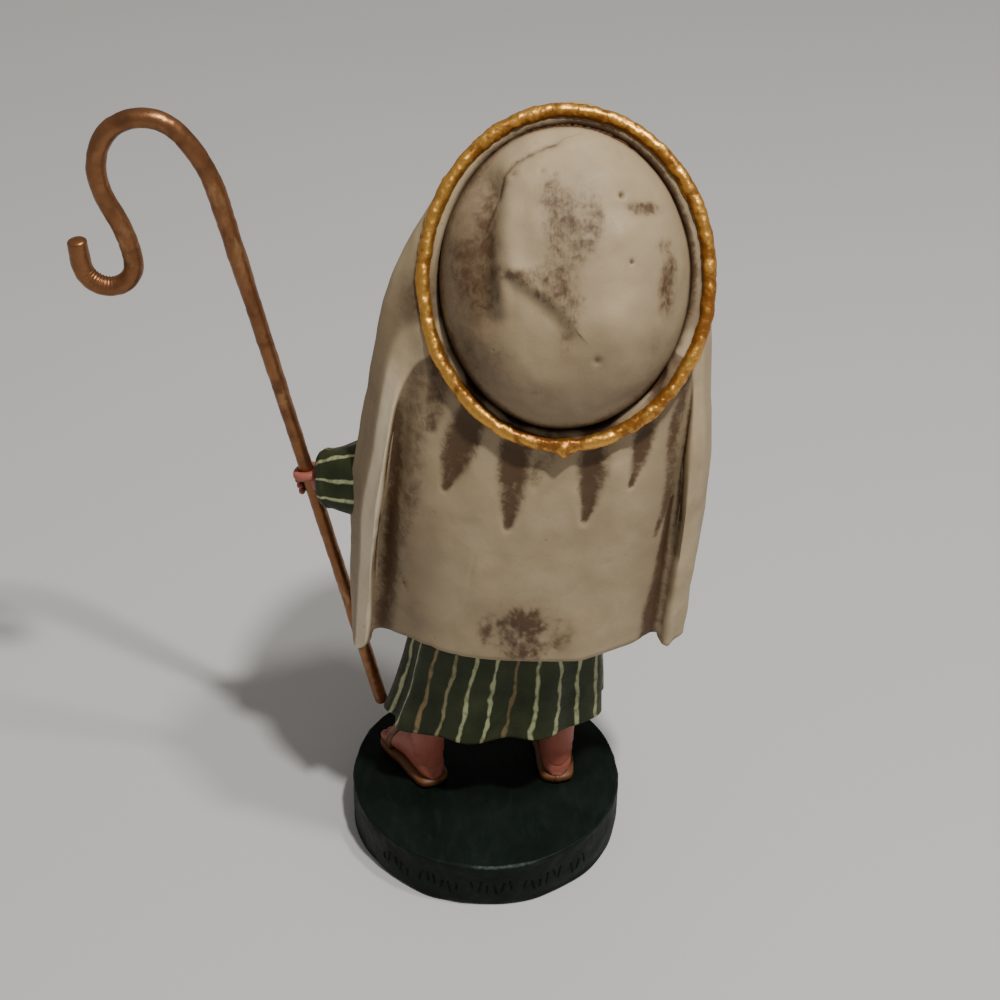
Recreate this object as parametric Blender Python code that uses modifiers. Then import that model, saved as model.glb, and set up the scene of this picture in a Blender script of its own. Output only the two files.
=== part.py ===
"""Nativity shepherd figurine: a child in robe and head cloth on a round plinth.

Three separate pieces: the cast figure, the turned base that it stands on and
the wire crook that passes through its left fist.  Metres, +Z up.  The figure
faces -Y and its left hand is on the +X side.  The origin is the centre of the
base's underside.  Heights inside the figure are counted from the base's top.
"""
import math

import bmesh
import bpy
import numpy as np

# Base
BASE_RADIUS = 0.0302
BASE_HEIGHT = 0.0120
BASE_EDGE = 0.0007
BASE_SIDES = 72

# Clearances
SEAT_GAP = 0.0003
BORE_GAP = 0.0003

# Robe: height, centre x, centre y, half-width, half-depth at each level
ROBE_LEVELS = (
    (0.0200, -0.0018, -0.0012, 0.0240, 0.0130),
    (0.0290, -0.0030, -0.0010, 0.0222, 0.0128),
    (0.0400, -0.0042, -0.0008, 0.0207, 0.0127),
    (0.0560, -0.0057, -0.0006, 0.0186, 0.0128),
    (0.0700, -0.0070, -0.0008, 0.0186, 0.0130),
    (0.0820, -0.0081, -0.0018, 0.0200, 0.0126),
    (0.0905, -0.0092, -0.0030, 0.0165, 0.0108),
    (0.0970, -0.0102, -0.0046, 0.0085, 0.0080),
    (0.1060, -0.0116, -0.0066, 0.0072, 0.0072),
)
ROBE_FOLDS = 9
ROBE_FOLD_DEPTH = 0.0011
ROBE_HEM_SLANT = 0.0021
ROBE_HEM_RECESS = 0.0016
ROBE_WALL = 0.0030

# Gilt head cord, and the plane that it lies in
CORD_CENTRE = (-0.0132, -0.0015, 0.1280)
CORD_TILT = math.radians(60.0)
CORD_HALF_WIDTH = 0.0270
CORD_HALF_LENGTH = 0.0318
CORD_RADIUS = 0.0015
CORD_KNOT = 0.0019

# Crown of the head cloth inside the cord
CROWN_RISE = 0.0150
CROWN_DEPTH = 0.0110
CROWN_INSET = 0.0006

# Head cloth outside the cord.  Each station is an angle round the cord from
# the nape (0) to the forehead (180), for the figure's left and right side.
STATIONS = (0, 20, 40, 54, 64, 76, 92, 108, 124, 141, 160, 180)
EDGE_LEFT = (
    (-0.0080, 0.0172, 0.0475), (0.0020, 0.0164, 0.0480), (0.0128, 0.0128, 0.0482),
    (0.0200, 0.0078, 0.0490), (0.0248, 0.0072, 0.0460), (0.0286, 0.0030, 0.0376),
    (0.0302, -0.0045, 0.0405), (0.0298, -0.0078, 0.0640), (0.0230, -0.0135, 0.0920),
    (0.0104, -0.0215, 0.1120), (0.0032, -0.0256, 0.1360), (-0.0132, -0.0266, 0.1508),
)
EDGE_RIGHT = (
    (-0.0080, 0.0172, 0.0475), (-0.0180, 0.0160, 0.0478), (-0.0278, 0.0122, 0.0482),
    (-0.0338, 0.0076, 0.0488), (-0.0374, 0.0062, 0.0464), (-0.0412, 0.0020, 0.0430),
    (-0.0426, -0.0052, 0.0436), (-0.0432, -0.0084, 0.0640), (-0.0396, -0.0140, 0.0920),
    (-0.0370, -0.0215, 0.1120), (-0.0296, -0.0256, 0.1360), (-0.0132, -0.0266, 0.1508),
)
FALL_LEFT = (
    (-0.0092, 0.0160, 0.0850), (0.0030, 0.0152, 0.0850), (0.0138, 0.0118, 0.0850),
    (0.0194, 0.0080, 0.0850), (0.0236, 0.0064, 0.0850), (0.0266, 0.0032, 0.0850),
    (0.0276, -0.0006, 0.0860), (0.0254, -0.0032, 0.0940), (0.0216, -0.0070, 0.1050),
    (0.0160, -0.0128, 0.1210), (0.0064, -0.0205, 0.1410), (-0.0132, -0.0250, 0.1540),
)
FALL_RIGHT = (
    (-0.0092, 0.0160, 0.0850), (-0.0205, 0.0150, 0.0850), (-0.0310, 0.0116, 0.0850),
    (-0.0364, 0.0080, 0.0850), (-0.0406, 0.0062, 0.0850), (-0.0434, 0.0028, 0.0850),
    (-0.0441, -0.0010, 0.0860), (-0.0424, -0.0036, 0.0940), (-0.0413, -0.0064, 0.1050),
    (-0.0396, -0.0120, 0.1210), (-0.0326, -0.0205, 0.1410), (-0.0132, -0.0250, 0.1540),
)
# How far the cloth rolls out past the cord at the nape, at the forehead and
# on each side, and the angles over which the left side's roll dies away
ROLL_OUT_NAPE = 0.0026
ROLL_OUT_BROW = 0.0008
ROLL_OUT_LEFT = 0.0036
ROLL_OUT_RIGHT = -0.0010
ROLL_FADE = (86.0, 116.0)
ROLL_DROP_NAPE = 0.0020
ROLL_DROP_BROW = 0.0044
CLOTH_WALL = 0.0026
CLOTH_FILL = 0.0060
CLOTH_EDGE = 0.0012
# Radial gathers that run out from under the cord: angle, half-width, depth
GATHERS = ((28.0, 6.0, 0.0011), (14.0, 5.0, 0.0012), (2.0, 4.5, 0.0009),
           (-10.0, 5.0, 0.0011), (-27.0, 6.0, 0.0012), (47.0, 7.0, 0.0010),
           (-49.0, 7.0, 0.0010))

# Head
HEAD_CENTRE = (-0.0132, -0.0108, 0.1268)
HEAD_TILT = math.radians(15.0)
HEAD_HALF_WIDTH = 0.0212
HEAD_HALF_DEPTH = 0.0220
HEAD_HALF_HEIGHT = 0.0262

# Legs and feet: heel place, direction turned out from straight ahead
LEG_RADIUS = 0.0040
ANKLE_RADIUS = 0.0036
LEG_INSIDE_ROBE = 0.0060
FOOT_LENGTH = 0.0190
FOOT_HALF_WIDTH = 0.0040
INSTEP_HEIGHT = 0.0062
SOLE_THICKNESS = 0.0017
SOLE_MARGIN = 0.0006
LEFT_HEEL = (0.0112, 0.0052)
LEFT_TURN = math.radians(32.0)
RIGHT_HEEL = (-0.0162, 0.0034)
RIGHT_TURN = math.radians(5.0)
TOE_RADIUS = 0.00125
TOE_COUNT = 5

# Crook: a wire whose centre line is straight runs and bends (length, turn)
CROOK_FOOT = (0.0242, -0.0110, 0.0104)
CROOK_LEAN = math.radians(12.9)
CROOK_RUNS = (
    (0.1323, 0.0), (0.0143, 27.0), (0.0077, 51.0), (0.0103, 64.0), (0.0134, 53.0),
    (0.0131, -21.0), (0.0071, -79.0), (0.0096, -108.0), (0.0054, 5.0),
)
CROOK_RADIUS_LOW = 0.00140
CROOK_RADIUS_HIGH = 0.00185
CROOK_POINTS = 60

# Left fist, closed round the crook, and its sleeve
FIST_DISTANCE = 0.0640
FIST_LENGTH = 0.0064
FIST_WALL = 0.0016
FINGER_COUNT = 4
LEFT_SHOULDER = (0.0040, -0.0040, 0.0800)
LEFT_ELBOW = (0.0205, -0.0060, 0.0775)
SLEEVE_RADIUS = 0.0090
CUFF_RADIUS = 0.0064
CUFF_DEPTH = 0.0026
WRIST_RADIUS = 0.0022
CUFF_TO_FIST = 0.0042

# Right arm, bent with the hand flat on the chest
RIGHT_SHOULDER = (-0.0240, -0.0040, 0.0820)
RIGHT_ELBOW = (-0.0335, -0.0070, 0.0630)
RIGHT_CUFF = (-0.0200, -0.0165, 0.0665)
RIGHT_HAND = (-0.0105, -0.0166, 0.0705)
RIGHT_HAND_LENGTH = 0.0066
RIGHT_HAND_RADIUS = 0.0030

for item in list(bpy.data.objects):
    bpy.data.objects.remove(item, do_unlink=True)


def make_collection(name):
    """Return a new collection linked to the scene."""
    group = bpy.data.collections.new(name)
    bpy.context.scene.collection.children.link(group)
    return group


def make_material(name, colour, roughness, metallic):
    """Return a Principled material."""
    material = bpy.data.materials.new(name)
    material.use_nodes = True
    shader = material.node_tree.nodes["Principled BSDF"]
    shader.inputs["Base Color"].default_value = (*colour, 1.0)
    shader.inputs["Roughness"].default_value = roughness
    shader.inputs["Metallic"].default_value = metallic
    return material


def unit(vector):
    """Return vectors scaled to length one."""
    vector = np.asarray(vector, dtype=float)
    return vector / np.linalg.norm(vector, axis=-1, keepdims=True)


def smooth_through(knots, values, at, period=None):
    """Read a smooth curve that passes through values at the given knots.

    Between two knots it is a cubic whose slopes there are those of the chord
    from the knot before to the knot after.  A period closes the curve.
    """
    knots = np.asarray(knots, dtype=float)
    values = np.asarray(values, dtype=float)
    if period:
        knots = np.concatenate(([knots[-1] - period], knots, [knots[0] + period]))
        values = np.concatenate((values[-1:], values, values[:1]))
    slopes = np.gradient(values, knots, axis=0, edge_order=1)
    at = np.asarray(at, dtype=float)
    low = np.clip(np.searchsorted(knots, at, side="right") - 1, 0, len(knots) - 2)
    width = knots[low + 1] - knots[low]
    share = (at - knots[low]) / width
    extra = (1,) * (values.ndim - 1)
    share = share.reshape(share.shape + extra)
    width = width.reshape(width.shape + extra)
    return (values[low] * (2 * share ** 3 - 3 * share ** 2 + 1)
            + slopes[low] * width * (share ** 3 - 2 * share ** 2 + share)
            + values[low + 1] * (3 * share ** 2 - 2 * share ** 3)
            + slopes[low + 1] * width * (share ** 3 - share ** 2))


def ease(value, start, end):
    """Rise smoothly from 0 at start to 1 at end."""
    share = np.clip((np.asarray(value, dtype=float) - start) / (end - start), 0.0, 1.0)
    return share * share * (3.0 - 2.0 * share)


def skin(name, rows, group, ends_closed=True):
    """Make a closed body from rows of points, each row a closed loop.

    With ends_closed the first and last loops get a cap each; without it the
    last loop joins the first, as on a ring.
    """
    rows = np.asarray(rows, dtype=float)
    count, around = rows.shape[:2]
    shell = bmesh.new()
    grid = [[shell.verts.new(point) for point in row] for row in rows]
    joins = count - 1 if ends_closed else count
    for i in range(joins):
        upper = grid[(i + 1) % count]
        for j in range(around):
            k = (j + 1) % around
            shell.faces.new((grid[i][j], grid[i][k], upper[k], upper[j]))
    if ends_closed:
        for loop in (grid[0], grid[-1]):
            middle = sum((v.co for v in loop[1:]), loop[0].co.copy()) / around
            hub = shell.verts.new(middle)
            for j in range(around):
                shell.faces.new((loop[j], loop[(j + 1) % around], hub))
    bmesh.ops.recalc_face_normals(shell, faces=shell.faces)
    bmesh.ops.triangulate(shell, faces=shell.faces)
    mesh = bpy.data.meshes.new(name)
    shell.to_mesh(mesh)
    shell.free()
    body = bpy.data.objects.new(name, mesh)
    group.objects.link(body)
    return body


def circle_rows(path, radii, sides, flatten=1.0, upright=(0.0, 0.0, 1.0)):
    """Loft circles of the given radii square to a path of points."""
    path = np.asarray(path, dtype=float)
    tangents = unit(np.gradient(path, axis=0))
    rows = []
    for centre, tangent, radius in zip(path, tangents, radii):
        side = unit(np.cross(tangent, upright))
        top = np.cross(side, tangent)
        turn = np.arange(sides) * 2.0 * math.pi / sides
        rows.append(centre + radius * (np.outer(np.cos(turn), side)
                                       + flatten * np.outer(np.sin(turn), top)))
    return rows


def cord_axes():
    """Return the cord plane's sideways, up-slope and outward directions."""
    across = np.array((1.0, 0.0, 0.0))
    slope = np.array((0.0, -math.cos(CORD_TILT), math.sin(CORD_TILT)))
    outward = np.array((0.0, math.sin(CORD_TILT), math.cos(CORD_TILT)))
    return across, slope, outward


def cord_point(angle, grow=0.0, rise=0.0):
    """Point on the cord's oval at an angle from the nape, in degrees."""
    across, slope, outward = cord_axes()
    angle = np.radians(np.asarray(angle, dtype=float))
    grow = np.broadcast_to(grow, angle.shape)
    rise = np.broadcast_to(rise, angle.shape)
    return (np.array(CORD_CENTRE)
            + np.multiply.outer((CORD_HALF_WIDTH + grow) * np.sin(angle), across)
            - np.multiply.outer((CORD_HALF_LENGTH + grow) * np.cos(angle), slope)
            + np.multiply.outer(rise, outward))


def station_row(left, right, angles):
    """Close a left and a right half-outline and read it at the angles."""
    knots = [-s for s in STATIONS[:0:-1]] + list(STATIONS[:-1])
    values = list(right[:0:-1]) + list(left[:-1])
    wrapped = (np.asarray(angles) + 180.0) % 360.0 - 180.0
    return smooth_through(knots, values, wrapped, period=360.0)


def cloth_surface(around, down):
    """Outer face of the head cloth, from under the cord out to its edge.

    Strands leave the cord's oval at each angle and pass through the roll just
    outside it and the fall at shoulder height to the outer edge, which is the
    back hem, the two pointed corners, the front edges and the brow.
    """
    angles = np.arange(around) * 360.0 / around - 180.0
    shares = np.linspace(0.0, 1.0, down) ** 1.15
    side = np.sin(np.radians(angles))
    front = (1.0 - np.cos(np.radians(angles))) / 2.0
    left = np.clip(side, 0, 1) ** 1.5 * (1.0 - ease(angles, *ROLL_FADE))
    roll = (ROLL_OUT_NAPE + (ROLL_OUT_BROW - ROLL_OUT_NAPE) * front
            + ROLL_OUT_LEFT * left + ROLL_OUT_RIGHT * np.clip(-side, 0, 1) ** 1.5)
    drop = ROLL_DROP_NAPE + (ROLL_DROP_BROW - ROLL_DROP_NAPE) * front
    keys = np.array((
        cord_point(angles, -CORD_RADIUS * 0.6, 0.0),
        cord_point(angles, roll, -drop),
        station_row(FALL_LEFT, FALL_RIGHT, angles),
        station_row(EDGE_LEFT, EDGE_RIGHT, angles),
    ))
    sheet = smooth_through((0.0, 0.16, 0.55, 1.0), keys, shares)
    normal = sheet_normals(sheet)
    depth = np.zeros((down, around))
    for angle, half_width, deep in GATHERS:
        away = (angles - angle + 180.0) % 360.0 - 180.0
        shape = np.exp(-(away / half_width) ** 2)
        depth -= deep * np.outer(ease(shares, 0.02, 0.14) * (1 - ease(shares, 0.2, 0.75)),
                                 shape)
    return angles, shares, sheet + depth[..., None] * normal


def sheet_normals(sheet):
    """Outward normals of a grid that is closed in its second direction."""
    around = np.roll(sheet, -1, axis=1) - np.roll(sheet, 1, axis=1)
    down = np.gradient(sheet, axis=0)
    return unit(np.cross(around, down))


def make_cloth(group):
    """Head cloth outside the cord, as a closed sheet of its own thickness."""
    angles, shares, outer = cloth_surface(48, 9)
    back = 1.0 - ease(np.abs(angles), 34.0, 56.0)
    upper = 1.0 - ease(shares, 0.66, 0.86)
    wall = CLOTH_WALL + (CLOTH_FILL - CLOTH_WALL) * np.outer(upper, back)
    wall = wall + (CLOTH_EDGE - CLOTH_WALL) * ease(np.abs(angles), 84.0, 150.0)
    normal = sheet_normals(outer)
    for _ in range(5):
        normal = normal + (np.roll(normal, 1, axis=1) + np.roll(normal, -1, axis=1)) / 2
        padded = np.concatenate((normal[:1], normal, normal[-1:]))
        normal = unit(normal + (padded[:-2] + padded[2:]) / 2)
    inner = outer - wall[..., None] * normal
    return skin("head_cloth", np.concatenate((outer, inner[::-1])), group, False)


def make_crown(group):
    """Rounded crown of the head cloth inside the cord."""
    across, slope, outward = cord_axes()
    turn = np.radians(np.arange(30) * 12.0)
    wide = CORD_HALF_WIDTH - CROWN_INSET
    long = CORD_HALF_LENGTH - CROWN_INSET
    rows = []
    for share in (0.86, 1.0, 0.97, 0.86, 0.68, 0.45, 0.20):
        rise = CROWN_RISE * math.sqrt(max(0.0, 1.0 - share ** 2.3))
        if not rows:
            rise = -CROWN_DEPTH
        rows.append(np.array(CORD_CENTRE) + rise * outward
                    + share * (np.outer(wide * np.sin(turn), across)
                               - np.outer(long * np.cos(turn), slope)))
    return skin("crown", rows, group)


def make_cord(group):
    """Round cord laid on the oval, and the small knot at the nape."""
    angles = np.arange(42) * 360.0 / 42.0
    centre = cord_point(angles)
    outer = unit(cord_point(angles, 1.0) - centre)
    outward = cord_axes()[2]
    turn = np.arange(7) * math.tau / 7
    rows = (centre[:, None]
            + CORD_RADIUS * (np.cos(turn)[None, :, None] * outer[:, None]
                             + np.sin(turn)[None, :, None] * outward))
    ring = skin("head_cord", rows, group, False)
    nape = cord_point(-1.0, CORD_RADIUS * 0.8, CORD_RADIUS * 0.4)
    knot = make_ball("knot", nape, (CORD_KNOT * 1.5, CORD_KNOT, CORD_KNOT), group)
    return [ring, knot]


def make_ball(name, centre, radii, group, across=12, up=8, turn=0.0):
    """Ball with its own half-sizes, turned about Z."""
    ball = bmesh.new()
    bmesh.ops.create_uvsphere(ball, u_segments=across, v_segments=up, radius=1.0)
    mesh = bpy.data.meshes.new(name)
    ball.to_mesh(mesh)
    ball.free()
    points = np.empty(len(mesh.vertices) * 3)
    mesh.vertices.foreach_get("co", points)
    points = points.reshape(-1, 3) * np.array(radii)
    spin = np.array(((math.cos(turn), -math.sin(turn), 0.0),
                     (math.sin(turn), math.cos(turn), 0.0), (0.0, 0.0, 1.0)))
    points = points @ spin.T + np.array(centre)
    mesh.vertices.foreach_set("co", points.ravel())
    body = bpy.data.objects.new(name, mesh)
    group.objects.link(body)
    return body


def head_point(longitude, latitude):
    """Head surface: an egg with brow, nose, cheeks, lips and chin.

    Longitude 0 is straight ahead and latitude runs from the chin side (-90
    degrees) to the top.  Each feature is a rounded bump or hollow.
    """
    lon = np.radians(longitude)
    lat = np.radians(latitude)
    level = np.cos(lat)
    ahead = level * np.cos(lon)
    aside = level * np.sin(lon)
    above = np.sin(lat)
    narrow = 1.0 + 0.16 * ease(-above, 0.25, 0.95)
    width = HEAD_HALF_WIDTH * narrow
    depth = np.where(ahead > 0, HEAD_HALF_DEPTH, HEAD_HALF_DEPTH * 0.80)
    x = width * aside
    y = depth * ahead
    z = HEAD_HALF_HEIGHT * above
    face = ease(ahead, 0.25, 0.7)

    def bump(x0, z0, half_width, half_height):
        return np.exp(-((x - x0) / half_width) ** 2 - ((z - z0) / half_height) ** 2)

    size = HEAD_HALF_HEIGHT
    push = 0.0030 * bump(0.0, -0.16 * size, 0.0026, 0.0030)
    push += 0.0014 * bump(0.0, 0.02 * size, 0.0020, 0.0050)
    push -= 0.0016 * (bump(0.0075, 0.06 * size, 0.0048, 0.0036)
                      + bump(-0.0075, 0.06 * size, 0.0048, 0.0036))
    push += 0.0012 * (bump(0.0100, -0.24 * size, 0.0060, 0.0055)
                      + bump(-0.0100, -0.24 * size, 0.0060, 0.0055))
    push += 0.0010 * bump(0.0, -0.40 * size, 0.0042, 0.0018)
    push -= 0.0008 * bump(0.0, -0.54 * size, 0.0050, 0.0016)
    push += 0.0014 * bump(0.0, -0.74 * size, 0.0052, 0.0040)
    y = y + push * face
    ahead_axis = np.array((0.0, -math.cos(HEAD_TILT), math.sin(HEAD_TILT)))
    up_axis = np.array((0.0, math.sin(HEAD_TILT), math.cos(HEAD_TILT)))
    across = np.array((1.0, 0.0, 0.0))
    return (np.array(HEAD_CENTRE) + np.multiply.outer(x, across)
            + np.multiply.outer(y, ahead_axis) + np.multiply.outer(z, up_axis))


def make_head(group):
    """Head with its face, closed at the crown and under the chin."""
    spread = np.linspace(-1.0, 1.0, 27)[:-1]
    longitude = 180.0 * np.sign(spread) * np.abs(spread) ** 1.5
    latitude = np.linspace(-80.0, 80.0, 15)
    grid_lat, grid_lon = np.meshgrid(latitude, longitude, indexing="ij")
    return skin("head", head_point(grid_lon, grid_lat), group)


def robe_rows(around, levels):
    """Loops of the robe's outer face, folded most at the hem."""
    heights = np.array([row[0] for row in ROBE_LEVELS])
    sizes = np.array([row[1:] for row in ROBE_LEVELS])
    turn = np.arange(around) * 2.0 * math.pi / around
    low = heights[0]
    rows = []
    for height in levels:
        x0, y0, wide, deep = smooth_through(heights, sizes, np.array([height]))[0]
        loose = 1.0 - float(ease(height, low, 0.0640))
        fold = ROBE_FOLD_DEPTH * (0.35 + 0.65 * loose) * (
            np.cos(ROBE_FOLDS * turn + 0.7) + 0.35 * np.cos((ROBE_FOLDS + 4) * turn))
        if height > 0.0790:
            fold = fold * 0.0
        cosine = np.sign(np.cos(turn)) * np.abs(np.cos(turn)) ** 0.9
        sine = np.sign(np.sin(turn)) * np.abs(np.sin(turn)) ** 0.9
        x = x0 + (wide + fold) * cosine
        y = y0 + (deep + fold) * sine
        slant = -ROBE_HEM_SLANT * cosine * (1.0 - float(ease(height, low, 0.0440)))
        wave = 0.4 * fold * (1.0 - float(ease(height, low, 0.0300)))
        rows.append(np.stack((x, y, height + slant - wave), axis=-1))
    return rows


def make_robe(group):
    """Robe with its body, recessed under the hem, up to the neck."""
    low = ROBE_LEVELS[0][0]
    top = ROBE_LEVELS[-1][0]
    levels = list(np.linspace(low, 0.0700, 5)) + [0.082, 0.090, 0.097, top]
    rows = robe_rows(42, levels)
    centre = rows[0].mean(axis=0)
    reach = np.linalg.norm((rows[0] - centre)[:, :2], axis=1, keepdims=True)
    inside = centre + (rows[0] - centre) * (1.0 - ROBE_WALL / reach)
    inside[:, 2] = rows[0][:, 2] + ROBE_HEM_RECESS
    return skin("robe", [inside] + rows, group)


def foot_frame(heel, turn):
    """Heel point on the base's top, the way ahead and the way to the left."""
    ahead = np.array((math.sin(turn), -math.cos(turn), 0.0))
    aside = np.array((math.cos(turn), math.sin(turn), 0.0))
    return np.array((heel[0], heel[1], 0.0)), ahead, aside


def foot_half_width(share):
    """Half-width of a foot along its length, heel 0 to toe tip 1."""
    knots = (0.0, 0.06, 0.22, 0.50, 0.76, 0.92, 1.0)
    widths = (0.42, 0.66, 0.82, 0.80, 1.0, 0.90, 0.52)
    return FOOT_HALF_WIDTH * smooth_through(knots, widths, share)


def make_foot(side, heel, turn, group):
    """Leg, foot, toes and sandal sole of one side."""
    origin, ahead, aside = foot_frame(heel, turn)
    up = np.array((0.0, 0.0, 1.0))
    shares = np.array((0.0, 0.05, 0.16, 0.32, 0.50, 0.68, 0.84, 0.95, 1.0))
    widths = foot_half_width(shares)
    arch = INSTEP_HEIGHT * smooth_through(
        (0.0, 0.16, 0.36, 0.60, 0.84, 1.0), (0.50, 0.95, 1.0, 0.74, 0.44, 0.28), shares)
    sole_top = SEAT_GAP + SOLE_THICKNESS
    ring = np.radians(np.arange(12) * 30.0)
    rows = []
    for share, width, height in zip(shares, widths, arch):
        middle = origin + ahead * (share * FOOT_LENGTH) + up * (sole_top + height * 0.40)
        high = np.where(np.sin(ring) > 0, height * 0.60, height * 0.40 + 0.0004)
        rows.append(middle + np.outer(width * np.cos(ring), aside)
                    + np.outer(high * np.sin(ring), up))
    parts = [skin(side + "_foot", rows, group)]
    sole_shares = np.array((0.0, 0.04, 0.12, 0.25, 0.42, 0.60, 0.76, 0.88, 0.96, 1.0))
    sole_widths = foot_half_width(sole_shares) + SOLE_MARGIN
    run = sole_shares * (FOOT_LENGTH + 2 * SOLE_MARGIN) - SOLE_MARGIN
    outline = np.concatenate((
        origin + np.outer(run, ahead) + np.outer(sole_widths, aside),
        (origin + np.outer(run, ahead) - np.outer(sole_widths, aside))[::-1]))
    parts.append(skin(side + "_sole", [outline + up * SEAT_GAP, outline + up * sole_top],
                      group))
    for number in range(TOE_COUNT):
        spread = 1.0 - 2.0 * number / (TOE_COUNT - 1)
        inner = spread if side == "right" else -spread
        size = TOE_RADIUS * (1.0 + 0.30 * max(0.0, inner) ** 3)
        reach = FOOT_LENGTH * (0.955 + 0.03 * inner) - 0.5 * size
        centre = (origin + ahead * reach + aside * spread * FOOT_HALF_WIDTH * 0.76
                  + up * (sole_top + size * 0.75))
        parts.append(make_ball(side + "_toe", centre, (size * 0.95, size * 1.5, size),
                               group, 6, 4, turn))
    ankle = origin + ahead * 0.0036 + up * (sole_top + INSTEP_HEIGHT * 0.35)
    hem = ROBE_LEVELS[0][0]
    path = [ankle, ankle + up * 0.0050, ankle + up * 0.0110,
            np.array((ankle[0] * 0.97, ankle[1] - 0.001, hem + LEG_INSIDE_ROBE))]
    radii = (ANKLE_RADIUS * 0.98, ANKLE_RADIUS, LEG_RADIUS, LEG_RADIUS * 1.12)
    parts.append(skin(side + "_leg", circle_rows(path, radii, 14, upright=(0, 1, 0)), group))
    return parts


def crook_line(count):
    """Points along the crook's centre line, evenly spaced, low end first."""
    lengths = np.array([run[0] for run in CROOK_RUNS])
    turns = np.radians([run[1] for run in CROOK_RUNS])
    ends = np.concatenate(([0.0], np.cumsum(lengths)))
    fine = np.linspace(0.0, ends[-1], 2000)
    which = np.clip(np.searchsorted(ends, fine, side="right") - 1, 0, len(lengths) - 1)
    before = np.concatenate(([0.0], np.cumsum(turns)))[which]
    heading = CROOK_LEAN + before + turns[which] * (fine - ends[which]) / lengths[which]
    step = np.gradient(fine)
    x = np.cumsum(np.sin(heading) * step)
    z = np.cumsum(np.cos(heading) * step)
    at = np.linspace(0.0, ends[-1], count)
    foot = np.array(CROOK_FOOT)
    return np.stack((foot[0] + np.interp(at, fine, x - x[0]),
                     np.full(count, foot[1]),
                     foot[2] + np.interp(at, fine, z - z[0])), axis=-1)


def crook_radius(share):
    """Radius of the crook at a share of its length from the low end."""
    return CROOK_RADIUS_LOW + (CROOK_RADIUS_HIGH - CROOK_RADIUS_LOW) * ease(share, 0.25, 0.72)


def crook_axis():
    """Unit direction of the crook's straight shaft."""
    return np.array((math.sin(CROOK_LEAN), 0.0, math.cos(CROOK_LEAN)))


def fist_centre():
    """Place on the shaft that the left fist closes round."""
    return np.array(CROOK_FOOT) + crook_axis() * FIST_DISTANCE


def fist_bore():
    """Radius of the hole that the crook passes through."""
    share = FIST_DISTANCE / sum(run[0] for run in CROOK_RUNS)
    return float(crook_radius(share)) + BORE_GAP


def make_left_arm(group):
    """Wide sleeve, wrist and fist of the arm that holds the crook."""
    axis = crook_axis()
    fist = fist_centre()
    shoulder = np.array(LEFT_SHOULDER)
    elbow = np.array(LEFT_ELBOW)
    reach = unit(fist - elbow)
    cuff = fist - reach * CUFF_TO_FIST
    inside = cuff - reach * CUFF_DEPTH
    path = [shoulder, (shoulder + elbow) / 2, elbow, (elbow + cuff) / 2, cuff]
    radii = [SLEEVE_RADIUS, SLEEVE_RADIUS * 1.04, SLEEVE_RADIUS,
             (SLEEVE_RADIUS + CUFF_RADIUS) / 2, CUFF_RADIUS]
    rows = circle_rows(path, radii, 16)
    hollow = circle_rows([inside, cuff], [CUFF_RADIUS * 0.62, CUFF_RADIUS * 0.78], 16)
    rows += [hollow[1], hollow[0]]
    parts = [skin("left_sleeve", rows, group)]
    wrist = circle_rows([inside - reach * 0.002, cuff, fist], [WRIST_RADIUS] * 3, 12)
    parts.append(skin("left_wrist", wrist, group))
    bore = fist_bore()
    side = unit(np.cross((0.0, 1.0, 0.0), axis))
    turn = np.arange(14) * math.pi / 7
    rows = []
    steps = FINGER_COUNT * 3
    for i in range(steps + 1):
        share = i / steps
        bulge = 0.86 + 0.14 * abs(math.sin(math.pi * FINGER_COUNT * share))
        ends = 0.72 if i in (0, steps) else 1.0
        radius = (bore + FIST_WALL) * bulge * ends
        centre = fist + axis * FIST_LENGTH * (share - 0.5)
        rows.append(centre + radius * (np.outer(np.cos(turn), side)
                                       + np.outer(np.sin(turn), (0.0, 1.0, 0.0))))
    parts.append(skin("left_fist", rows, group))
    return parts


def make_right_arm(group):
    """Sleeve folded across the body, with the hand flat on the chest."""
    shoulder = np.array(RIGHT_SHOULDER)
    elbow = np.array(RIGHT_ELBOW)
    cuff = np.array(RIGHT_CUFF)
    hand = np.array(RIGHT_HAND)
    upper = unit(elbow - shoulder)
    lower = unit(cuff - elbow)
    path = [shoulder, (shoulder + elbow) / 2, elbow, elbow + upper * 0.0045]
    rows = circle_rows(path, SLEEVE_RADIUS * np.array((1.00, 1.00, 0.96, 0.52)), 16)
    parts = [skin("right_upper_sleeve", rows, group)]
    path = [elbow - lower * 0.0040, elbow, (elbow + cuff) / 2, cuff]
    rows = circle_rows(path, SLEEVE_RADIUS * np.array((0.55, 0.92, 0.94, 0.84)), 16)
    reach = unit(hand - cuff)
    rows.append(rows[-1] * 0.3 + cuff * 0.7 - reach * CUFF_DEPTH * 0.6)
    parts.append(skin("right_sleeve", rows, group))
    wrist = circle_rows([cuff - reach * 0.003, hand - reach * 0.002], [WRIST_RADIUS] * 2, 12)
    parts.append(skin("right_wrist", wrist, group))
    lean = math.atan2(reach[1], reach[0])
    parts.append(make_ball("right_palm", hand,
                           (RIGHT_HAND_LENGTH / 2, RIGHT_HAND_RADIUS * 0.55,
                            RIGHT_HAND_RADIUS), group, 12, 8, lean))
    for number in range(FINGER_COUNT):
        level = RIGHT_HAND_RADIUS * (0.66 - 0.44 * number)
        tip = hand + reach * RIGHT_HAND_LENGTH * 0.45 + np.array((0.0, 0.0, level))
        parts.append(make_ball("right_finger", tip,
                               (RIGHT_HAND_LENGTH * 0.36, 0.0009, 0.0008),
                               group, 6, 4, lean))
    return parts


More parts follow.
